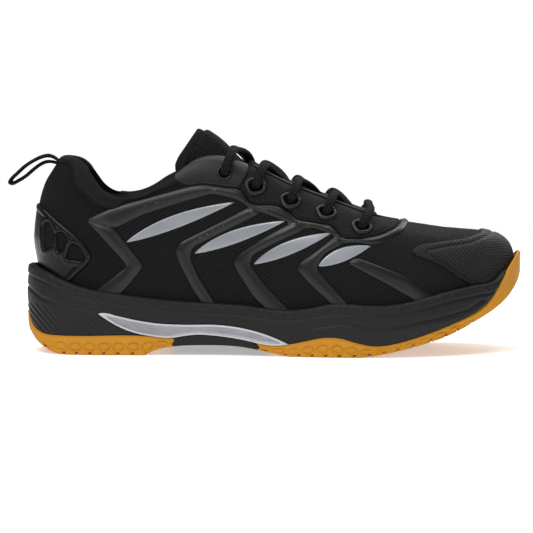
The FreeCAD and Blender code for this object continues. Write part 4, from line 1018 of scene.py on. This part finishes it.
def closed_loft(name, sections, flats, material, body="shoe", smooth_angle=60):
    """A skin over sections[k][i]: rows k go round, columns i run along, and the ends are capped."""
    quads = grid_quads(*sections.shape[:2], closed=True)
    points = sections.reshape(-1, 3)
    face = points[quads]
    out = np.cross(face[:, 1] - face[:, 0], face[:, 3] - face[:, 0])
    if np.sum(out * (face.mean(1) - points.mean(0))) < 0:
        quads = quads[:, ::-1]
    obj = mesh_of(name, points, quads, flats.reshape(-1, 2)[quads], material, None, smooth_angle)
    bm = bmesh.new()
    bm.from_mesh(obj.data)
    bmesh.ops.holes_fill(bm, edges=[e for e in bm.edges if e.is_boundary], sides=0)
    bmesh.ops.recalc_face_normals(bm, faces=bm.faces)
    bm.to_mesh(obj.data)
    bm.free()
    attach(obj, body)
    return obj


def frames_along(path, toward):
    """The side and up directions at each point of a path; up leans to the given directions."""
    tangent = unit(np.gradient(path, axis=0))
    side = []
    for t, want in zip(tangent, np.cross(tangent, toward)):
        strength = np.linalg.norm(want)
        if side:
            w = unit(side[-1] - t * (side[-1] @ t))
            if strength > 0.25:
                want = want / strength * (-1 if want @ w < 0 else 1)
                w = w + want * 0.18 * strength
                w = unit(w - t * (w @ t))
        else:
            w = unit(want)
        side.append(w)
    side = np.array(side)
    return side, np.cross(side, tangent)


def tube(name, path, halves, material, body="shoe", toward=(0.0, 0.0, 1.0), closed=False, around=12):
    """A round or flattened tube through dense points: halves are its half width and half thickness."""
    side, up = frames_along(path, np.broadcast_to(toward, path.shape))
    angle = np.linspace(0, 2 * math.pi, around, endpoint=False)
    sections = np.array([path + side * halves[0] * math.cos(a) + up * halves[1] * math.sin(a) for a in angle])
    gone = gone_along(path)
    girth = math.sqrt(2) * math.pi * math.hypot(*halves)
    flats = np.array([np.stack([np.full(len(path), girth * k / around), gone], 1) for k in range(around)])
    if closed:
        sections = np.concatenate([sections, sections[:, :1]], 1)
        flats = np.concatenate([flats, flats[:, :1] + np.array([0, gone[-1]])], 1)
    return stands_for(closed_loft(name, sections, flats, material, body), ())


# ---- sole

MIDSOLE_GROOVE = [(-4, 42), (1.9, 38.5), (9.6, 33.2), (20.2, 29.8), (36, 27), (46, 25.6)]
WAVE_GROOVE = [(158, 12.5), (170.4, 17.2), (183.6, 20), (192.4, 19.9), (201.2, 18), (211.6, 17.3), (223.2, 18.9),
               (236.4, 21.6), (249.6, 24.2), (262, 27.6), (271, 33)]


def rubber_top(x):
    """Where the foam begins: above the rubber, or above the bare arch."""
    heel = along(HEEL_RUBBER_TOP, np.clip(x, -4, 90))
    fore = along(FOREFOOT_RUBBER_TOP, np.clip(x, RUBBER_JOIN, 300))
    return np.where(x < HEEL_RUBBER_END, heel, np.where(x > RUBBER_JOIN, fore, floor_line(x)))


BLADE_X = np.linspace(43.6, 156, 80)
BLADE_BACK = BLADE_X[-2:0:-1]
blade = outline_field([*zip(BLADE_X, along(BLADE_TOP, BLADE_X)),
                       *zip(BLADE_BACK, along(BLADE_BOTTOM, BLADE_BACK))], 0)


def under_wave(x, z):
    """How far a point of the forefoot's wall lies under the wave groove."""
    return along(WAVE_GROOVE, np.clip(x, 158, 271)) - z


def midsole_height(depth, here, u, v):
    x, z = here[:, 0], here[:, 2]
    below_rim = along(RIM_LINE, x) - z
    above_rubber = z - rubber_top(x)
    body = np.clip(above_rubber / np.maximum(above_rubber + below_rim, 1), 0, 1)
    out = 0.35 + 0.75 * np.sin(math.pi * np.clip(body * 1.15, 0, 1))
    rim = smooth(5.6, 3.8, below_rim)
    out = out * (1 - rim) + (0.95 - 0.4 * smooth(4.2, 0.0, below_rim)) * rim
    lip = np.clip((0.5 - below_rim) / 1.7, 0, 1)
    out -= 0.6 * groove(below_rim - 4.7, 0.75) + 2.3 * (1 - np.sqrt(1 - lip ** 2))
    out -= 0.75 * groove(polyline_distance(MIDSOLE_GROOVE, x, z), 0.8)
    out -= 0.7 * groove(polyline_distance(WAVE_GROOVE, x, z), 0.8)
    out += 0.5 * smooth(1.0, 3.0, under_wave(x, z)) * smooth(160, 175, x)
    rib = 0.28 * np.cos(2 * math.pi * (x + 0.9 * z) / 3.6) * smooth(62, 40, x) * smooth(28, 25, z + 0.12 * x - 3)
    out += rib * smooth(1.5, 3.5, below_rim)
    bed = smooth(0.9, -0.5, blade(here))
    return (1 - bed) * out - 0.3 * bed - 0.55 * smooth(1.1, 0.0, depth)


def rubber_height(depth, here, u, v):
    x, z = here[:, 0], here[:, 2]
    below, above = rubber_top(x) - z, z - floor_line(x)
    band = below + above
    half_up = np.clip(0.23 * band, 0.9, 2.2)
    ring = np.hypot((np.mod(x, TREAD_PITCH) - TREAD_PITCH / 2) / 3.3, (above - 0.44 * band) / half_up)
    loops = groove((ring - 1) * half_up, 0.42) * smooth(266, 256, x) * smooth(10, 16, x)
    return 0.75 + 0.3 * groove(below - 1.1, 0.7) - 0.75 * loops - 0.6 * smooth(1.2, 0.0, depth)


def zigzag_x(y):
    """How far a tread groove is shifted at y."""
    turn = (y - CENTRE[1]) / 14.0 - 0.25
    return 3.2 * (2 * np.abs(turn - np.floor(turn + 0.5))) - 1.6


def notches(first, last):
    """Where the tread's grooves come out through the sole's side."""
    starts = np.arange(first, last + 0.01, TREAD_PITCH)

    def field(at):
        x = at[:, 0] - zigzag_x(at[:, 1])
        gap = np.min(np.abs(x[:, None] - (starts + 1.0)[None]), axis=1) - 1.0
        return np.maximum(gap, at[:, 2] - floor_line(at[:, 0]) - 2.5)
    return field


def make_sole_walls():
    wall, fine_wall = SoleWall(1500, -0.5, 66, 140), SoleWall(1700, -0.5, 66, 190)

    def foam(at):
        return np.maximum(rubber_top(at[:, 0]) + 0.1 - at[:, 2], at[:, 2] - along(RIM_LINE, at[:, 0]) - 1.1)

    def foam_zone(depth, here):
        x, z = here[:, 0], here[:, 2]
        grip = (x > 158) & (x < 262) & (under_wave(x, z) > 0)
        return np.where(along(RIM_LINE, x) - z < 4.7, 1, np.where(grip, 2, 0))
    shell("midsole_wall", wall, foam, midsole_height, -3.7, [MAT["foam"], MAT["rim"], MAT["grip"]],
          zone_of=foam_zone, smooth_angle=40)

    for name, grooves, past_end in (
            ("outsole_heel", notches(12, 80), lambda at: at[:, 0] - HEEL_RUBBER_END),
            ("outsole_forefoot", notches(152, 268), lambda at: RUBBER_JOIN + 2 - at[:, 0])):
        band = both(lambda at: floor_line(at[:, 0]) + 0.05 - at[:, 2], lambda at: at[:, 2] - rubber_top(at[:, 0]),
                    outside(grooves), past_end)
        shell(f"{name}_side", fine_wall, band, rubber_height, -0.8, MAT["gum"], smooth_angle=40)
    edge_width = 1.0

    def blade_height(depth, here, u, v):
        inward = -blade(here)
        ribs = 0.13 * np.cos(2 * math.pi * (here[:, 0] + 1.5 * here[:, 2]) / 6.5) * smooth(2.2, 3.4, inward)
        return 1.1 + 0.55 * smooth(-0.1, 0.6, inward) - 0.6 * smooth(edge_width, 2.3, inward) + ribs

    def panel(at):
        return blade(at) + edge_width
    for side in SIDES:
        # The edge band is painted pale: a painted highlight along the blade's bevel.
        for label, field, finish in (("blade", panel, "silver"), ("edge", both(blade, outside(panel)), "painted_highlight_edge")):
            shell(f"shank_{label}_{side}", wall, both(field, on_side(side)), blade_height, -1.0, MAT[finish],
                  smooth_angle=35)


def spine_grid(offset, lift, edge_rise=0.0, count_u=260, count_r=26):
    """A sheet over the footbed: from the shoe's middle line out to the base outline, moved in by offset."""
    outline = weights(np.linspace(0, ROUND, count_u, endpoint=False)) @ (BASE + PLAN_NORMALS * offset)
    x = np.clip(outline[:, 0], 40, 250)
    spine = np.stack([x, np.interp(x, [0, 150, 250, 300], [0, -2.5, 1.5, 4])], 1)
    r = np.linspace(0, 1, count_r)[:, None, None]
    plan = spine * (1 - r) + outline * r
    z = along(FOOTBED_LINE, plan[..., 0]) + lift + edge_rise * r[..., 0] ** 5
    return np.concatenate([plan, z[..., None]], 2)


def make_insole():
    rows = np.concatenate([spine_grid(-4.0, 5.15, edge_rise=1.6), spine_grid(-4.0, 0.2)[::-1]])
    rows = np.concatenate([rows, rows[:, :1]], 1)
    quads = grid_quads(*rows.shape[:2], closed=False)[:, ::-1]
    points = rows.reshape(-1, 3)
    obj = mesh_of("insole_padding", points, quads, points[quads][..., :2], MAT["insole"], "shoe")
    stands_for(obj, ["insole"])


# ---- tongue

TONGUE = [((214, 69.5), 17, 5.5), ((203, 73.6), 20, 7.5), ((188, 79.6), 22, 10), ((171, 86.4), 23, 12.5),
          ((154, 94), 21.8, 15), ((139, 103.4), 19.8, 18), ((127, 115.4), 18.6, 22), ((116, 126.6), 18.8, 25),
          ((106.2, 133.4), 18.6, 26)]


def tongue_line(count):
    """From the tongue's root to its tip: the face's middle, half width and drop, the way into the foot, distance."""
    raw = np.array([(x, z, w, d) for (x, z), w, d in TONGUE], float)
    gone = gone_along(raw[:, :2])
    at = np.linspace(0, gone[-1], count)
    fine = np.array([catmull(gone, column, at) for column in raw.T]).T
    way = unit(np.gradient(fine[:, :2], axis=0))
    return fine, np.stack([-way[:, 1], way[:, 0]], 1), at


def catmull(knots, values, at):
    """The smooth curve through values at knots."""
    slope = np.gradient(values, knots)
    i = np.clip(np.searchsorted(knots, at) - 1, 0, len(knots) - 2)
    width = knots[i + 1] - knots[i]
    return hermite((at - knots[i]) / width, width, values[i], values[i + 1], slope[i], slope[i + 1])


def make_tongue():
    fine, into, gone = tongue_line(84)
    half_width, drop = fine[:, 2], fine[:, 3]
    middle, half_thick = 3.3, 3.2
    end = np.clip((gone[-1] - gone) / 3.4, 0, 1)
    round_end = np.sqrt(np.clip(1 - (1 - end) ** 2, 0.02, 1))

    def on_tongue(y, depth, part=slice(None)):
        """Points across the tongue at y, at a depth under its middle line."""
        return np.stack([fine[part, 0] + into[part, 0] * depth, y, fine[part, 1] + into[part, 1] * depth], 1)
    points, flats = [], []
    for angle in np.linspace(0, 2 * math.pi, 96, endpoint=False):
        c, s = math.cos(angle), math.sin(angle)
        across = np.sign(c) * abs(c) ** 0.42
        thick = np.sign(s) * abs(s) ** 0.62
        pad = 1 + 0.12 * math.cos(across * math.pi) * (s > 0)
        y = (half_width - 1.2 + thick) * across
        points.append(on_tongue(y, drop * across ** 2 + middle - thick * half_thick * pad * round_end))
        flats.append(np.stack([y, gone], 1))
    obj = closed_loft("tongue_padding", np.array(points), np.array(flats), [MAT["tongue"], MAT["lining"]], "tongue")
    for face in obj.data.polygons:
        if face.normal.x * 0.35 + face.normal.z * 0.75 < -0.05:
            face.material_index = 1
    stands_for(obj, ["tongue_face", "tongue_foam", "tongue_lining"])

    edge = slice(34, -2)
    left, right = (on_tongue((half_width[edge] - 0.5) * sign, drop[edge] + middle, edge) for sign in (-1, 1))
    s = np.linspace(-1, 1, 61)[1:-1]
    tip = on_tongue((half_width[-1] - 0.9) * s, drop[-1] * s ** 2 + middle, np.full(len(s), -1))
    path = np.concatenate([left, tip, right[::-1]])
    for _ in range(3):
        path[1:-1] = (path[:-2] + 2 * path[1:-1] + path[2:]) / 4
    tube("tongue_binding", path, (3.4, 1.5), MAT["binding"], "tongue", (0.0, 1.0, 0.0), around=16)


# ---- laces, eyelets, tapes


def spline_object(name, points, width=0.0):
    """A smooth curve with these points, in metres in the frame, as its control points."""
    curve = bpy.data.curves.new(name, "CURVE")
    curve.dimensions = "3D"
    spline = curve.splines.new("NURBS")
    spline.points.add(len(points) - 1)
    for at, p in zip(spline.points, points):
        at.co = (*p, 1)
    spline.order_u = 3
    spline.use_endpoint_u = True
    spline.resolution_u = 16
    curve.bevel_depth = width / 2
    curve.bevel_resolution = 4
    obj = bpy.data.objects.new(name, curve)
    bpy.context.scene.collection.objects.link(obj)
    return obj


def points_of(name, points):
    """The dense points of the smooth curve, in the shoe's millimetres."""
    obj = spline_object(name, points)
    mesh = bpy.data.meshes.new_from_object(obj)
    found = np.array([v.co for v in mesh.vertices], float)
    bpy.data.objects.remove(obj)
    bpy.data.meshes.remove(mesh)
    return found * 1000 + CENTRE


def evenly(path, step):
    gone = gone_along(path)
    at = np.linspace(0, gone[-1], int(gone[-1] / step) + 1)
    return np.stack([np.interp(at, gone, path[:, c]) for c in range(3)], 1)


def make_lace():
    path = evenly(points_of("lace_line", LACE), 0.6)
    x = path[:, 0]
    under = along([(90, 78), (120, 88), (150, 74), (205, 55)], np.clip(x, 90, 205))
    away = path - np.stack([x - 6, 0 * x, under], 1)
    lace = tube("lace_cord", path, (2.75, 1.95), MAT["lace"], toward=away, around=18)
    stands_for(lace, ["lace"])
    for side in SIDES:
        end = spline_object(f"lace_end_{side}_cord", LACE_ENDS[side], LACE_DIAMETER)
        end.data.materials.append(MAT["lace"])
        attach(end, "shoe")
        stands_for(end, [f"lace_end_{side}"])


def make_eyelets():
    """Rounded frames round the lace holes; the top hole has a thin ring only."""
    angle = np.linspace(0, 2 * math.pi, 49)[:-1]

    def oval(values, power, half, way):
        return np.outer(np.sign(values) * np.abs(values) ** power * half, way)
    for side in SIDES:
        for number, (here, n, fore, up) in enumerate(EYELET_SPOTS[side], 1):
            power, half_a, half_b, lift, halves = (
                (1.0, 3.9, 3.9, 0.95, (0.7, 0.55)) if number == 1 else (0.66, 5.0, 4.4, 1.15, (1.25, 0.95)))
            path = (here + oval(np.cos(angle), power, half_a, fore) + oval(np.sin(angle), power, half_b, up)
                    + n * lift)
            obj = tube(f"eyelet_{side}_{number}", path, halves, MAT["eyelet"], toward=n, closed=True, around=14)
            stands_for(obj, [f"eyelets_{side}"] if number == 1 else [])


def make_webbing():
    """A tape folded over each edge of the throat, with three pale yarns along its outside."""
    start, crown, depth = 0.94, 1.3, -3.2
    for side in SIDES:
        u = np.linspace(0, ROUND, 3000, endpoint=False)
        edge = UPPER.point(u, np.ones(len(u)))
        u = u[(edge[:, 0] > 131) & (edge[:, 0] < 206) & (on_side(side)(edge) < 0)]
        rows, flats = [], []

        def lifted(v, out, up=0.0):
            here, pu, pv = slopes(UPPER, u, v)
            return here + normals(pu, pv) * out + unit(pv) * up

        def outside_face(share):
            return 0.85 + crown * math.sqrt(max(math.sin(math.pi * share), 0))
        for k, v in enumerate(np.linspace(start, 1.0, 12)):
            rows.append(lifted(v, outside_face(k / 11)))
            flats.append(k * 0.55)
        for k in range(1, 8):
            c = math.cos(math.pi * k / 8)
            rows.append(lifted(1.0, 0.85 * (c + 1) / 2 + depth * (1 - c) / 2, 1.3 * math.sin(math.pi * k / 8)))
            flats.append(6.6 + k * 0.5)
        rows.append(lifted(start, depth))
        flats.append(14.0)
        flats = np.array([np.stack([u, np.full(len(u), across)], 1) for across in flats])
        obj = closed_loft(f"throat_webbing_{side}_tape", np.array(rows), flats, MAT["webbing"])
        stands_for(obj, [f"throat_webbing_{side}"])
        for number, v in enumerate((0.952, 0.968, 0.984), 1):
            line = lifted(v, outside_face((v - start) / (1 - start)) + 0.05)
            tube(f"throat_yarn_{side}_{number}", line[8:-8:3], (0.28, 0.28), MAT["yarn"], around=6)


TAB_LINE = [(19.5, 112.6), (17.4, 114.6), (15.2, 116.0), (12.6, 116.7), (8.3, 115.9), (3.4, 113.6), (-1.5, 110.4),
            (-6.2, 106.1), (-9.9, 102.3), (-10.6, 100.7), (-9.4, 100.2), (-5.6, 101.7), (-0.8, 104.7), (3.6, 108.5),
            (7.9, 111.6), (11, 112.9), (14, 113.1), (18.5, 112.0)]


def make_pull_tab():
    raw = np.array(TAB_LINE, float)
    gone = gone_along(raw)
    at = np.linspace(0, gone[-1], 150)
    x, z = catmull(gone, raw[:, 0], at), catmull(gone, raw[:, 1], at)
    path = np.stack([x, 0 * at, z], 1)
    n = np.cross([0.0, -1.0, 0.0], unit(np.gradient(path, axis=0)))
    half, thick, corner, shoulder = 5.5, 0.7, 0.8, 1.4
    fuller = 1 + 0.5 * smooth(2, 11, np.minimum(at, gone[-1] - at))[:, None]
    across = [-half + corner, *np.linspace(-half + shoulder, half - shoulder, 9), half - corner]
    outline = ([(-half, 0)] + [(y, -thick) for y in across] + [(half, 0)] + [(y, thick) for y in across[::-1]])
    rows = np.array([path + np.array([0, y, 0]) + n * h * fuller for y, h in outline])
    flats = np.array([np.stack([np.full(len(at), y + (0 if h <= 0 else 20)), at], 1) for y, h in outline])
    obj = closed_loft("pull_tab_webbing", rows, flats, MAT["webbing"], "pull_tab", 40)
    stands_for(obj, ["pull_tab"])


# ---- stitching


def stitches(name, line, side, lift):
    """A row of short threads along a side-view line, lying on the upper."""
    length, gap, radius, around = 2.3, 1.0, 0.3, 6
    shape = ((0, -0.25, 0.4), (0, 0.05, 0.9), (1, 0.3, 1), (2, 0.05, 0.9), (2, -0.25, 0.4))
    p = np.asarray(line, float)
    gone = gone_along(p)
    points, quads = [], []
    for start in np.arange(0, gone[-1] - length, length + gap):
        marks = [spot(np.interp(d, gone, p[:, 0]), np.interp(d, gone, p[:, 1]), side)[:2]
                 for d in (start, start + length / 2, start + length)]
        way = marks[2][0] - marks[0][0]
        if not 0.2 <= np.linalg.norm(way) <= 2.2 * length:
            continue
        way = unit(way)
        base = len(points)
        for mark, rise, fat in shape:
            here, n = marks[mark]
            across = np.cross(n, way)
            for angle in np.linspace(0, 2 * math.pi, around, endpoint=False):
                points.append(here + n * (lift + rise + radius * fat * math.sin(angle))
                              + across * radius * fat * math.cos(angle))
        for k in range(len(shape) - 1):
            for a in range(around):
                b = (a + 1) % around
                quads.append([base + k * around + a, base + k * around + b,
                              base + (k + 1) * around + b, base + (k + 1) * around + a])
        last = base + (len(shape) - 1) * around
        quads += [[base + q for q in (3, 2, 1, 0)], [base + q for q in (5, 4, 3, 0)],
                  [last + q for q in (0, 1, 2, 3)], [last + q for q in (0, 3, 4, 5)]]
    stands_for(mesh_of(name, np.array(points), quads, None, MAT["thread"], "shoe", 60), ())


# Side-view lines of stitching, and how high each lies over the upper.
STITCH_LINES = {
    "eyestay": (0.85, [(133.5, 91.5), (146.8, 91.2), (156.8, 88.8), (162.2, 82.8), (173.2, 80.8), (182.2, 79.4),
                       (189.2, 71.8), (198.4, 71.6), (209.4, 73.4), (217.6, 76.8)]),
    "patch": (0.85, [(92, 104.2), (97.6, 102.4), (105, 103.8), (124.6, 101.0)]),
    "collar": (0.85, [(30.6, 110.5), (32.2, 100.6), (43.2, 90.8), (53.6, 88.4)]),
    "toe": (1.3, [(268.5, 42.8), (261.5, 47.2), (251.5, 53.6), (240.4, 59.6)]),
}


def make_stitching():
    for side in SIDES:
        for name, (lift, line) in STITCH_LINES.items():
            stitches(f"stitches_{name}_{side}", line, side, lift)


# ---- carried-over solids, stage, camera


def finish_nodes():
    """Materials for the CAD solids that are shown as they are."""
    for key, names in {"gum_cad": ("outsole_heel", "outsole_forefoot"), "foam_cad": ("midsole",),
                       "silver_cad": ("shank_plate",), "board": ("strobel_board",),
                       "hidden": ("heel_counter", "toe_puff"), "aglet": ("aglet_lateral", "aglet_medial")}.items():
        for name in names:
            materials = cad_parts[name].data.materials
            materials.clear()
            materials.append(MAT[key])


def make_stage():
    """A pale floor that glows a little, and a white world that lights the shoe less than it looks."""
    bpy.ops.mesh.primitive_plane_add(size=2, location=(0, 0, 0))
    floor = bpy.context.object
    floor.name = "floor"
    mat = bpy.data.materials.new("floor_paper")
    mat.use_nodes = True
    for key, value in {"Base Color": (0.94, 0.94, 0.94, 1), "Roughness": 0.95, "Emission Color": (1, 1, 1, 1),
                       "Emission Strength": 0.4}.items():
        mat.node_tree.nodes["Principled BSDF"].inputs[key].default_value = value
    floor.data.materials.append(mat)
    world = bpy.data.worlds.new("studio")
    bpy.context.scene.world = world
    world.use_nodes = True
    nodes, links = world.node_tree.nodes, world.node_tree.links
    strength = nodes.new("ShaderNodeMapRange")
    links.new(nodes.new("ShaderNodeLightPath").outputs["Is Camera Ray"], strength.inputs["Value"])
    links.new(strength.outputs[0], nodes["Background"].inputs["Strength"])
    nodes["Background"].inputs["Color"].default_value = (1, 1, 1, 1)
    strength.inputs["To Min"].default_value = 0.2
    strength.inputs["To Max"].default_value = 1.0


def placed(name, data, location, target):
    """A light or camera at a location, looking at a target."""
    obj = bpy.data.objects.new(name, data)
    bpy.context.scene.collection.objects.link(obj)
    obj.location = location
    obj.rotation_euler = (Vector(target) - Vector(location)).to_track_quat("-Z", "Y").to_euler()
    return obj


def softbox(name, location, size, power):
    data = bpy.data.lights.new(name, "AREA")
    data.shape = "RECTANGLE"
    data.size, data.size_y = size
    data.energy = power
    placed(name, data, location, (0, 0, 0.05))


def make_camera():
    elevation, distance, width = math.radians(4.0), 2.2, 0.320
    target = Vector((0.0013, 0.0, 0.0501))
    data = bpy.data.cameras.new("camera")
    data.sensor_width = 36
    data.lens = data.sensor_width * distance / width
    data.clip_end = 50
    away = Vector((0, -math.cos(elevation), math.sin(elevation)))
    bpy.context.scene.camera = placed("camera", data, target + away * distance, target)


make_camera()
make_stage()
softbox("key", (-0.55, -1.0, 1.25), (0.8, 0.6), 14)
softbox("front", (0.6, -1.5, 0.5), (1.0, 0.4), 2.5)
softbox("top", (0.0, 0.15, 1.4), (1.4, 0.8), 13)
softbox("back", (0.5, 1.1, 0.9), (1.0, 0.8), 5)
bpy.context.scene.view_settings.view_transform = "Standard"

finish_nodes()
for make in (make_lace, make_textiles, make_overlays, make_toe_cap, make_heel_cage, make_collar, make_sole_walls,
             make_insole, make_tongue, make_eyelets, make_webbing, make_pull_tab, make_stitching):
    make()
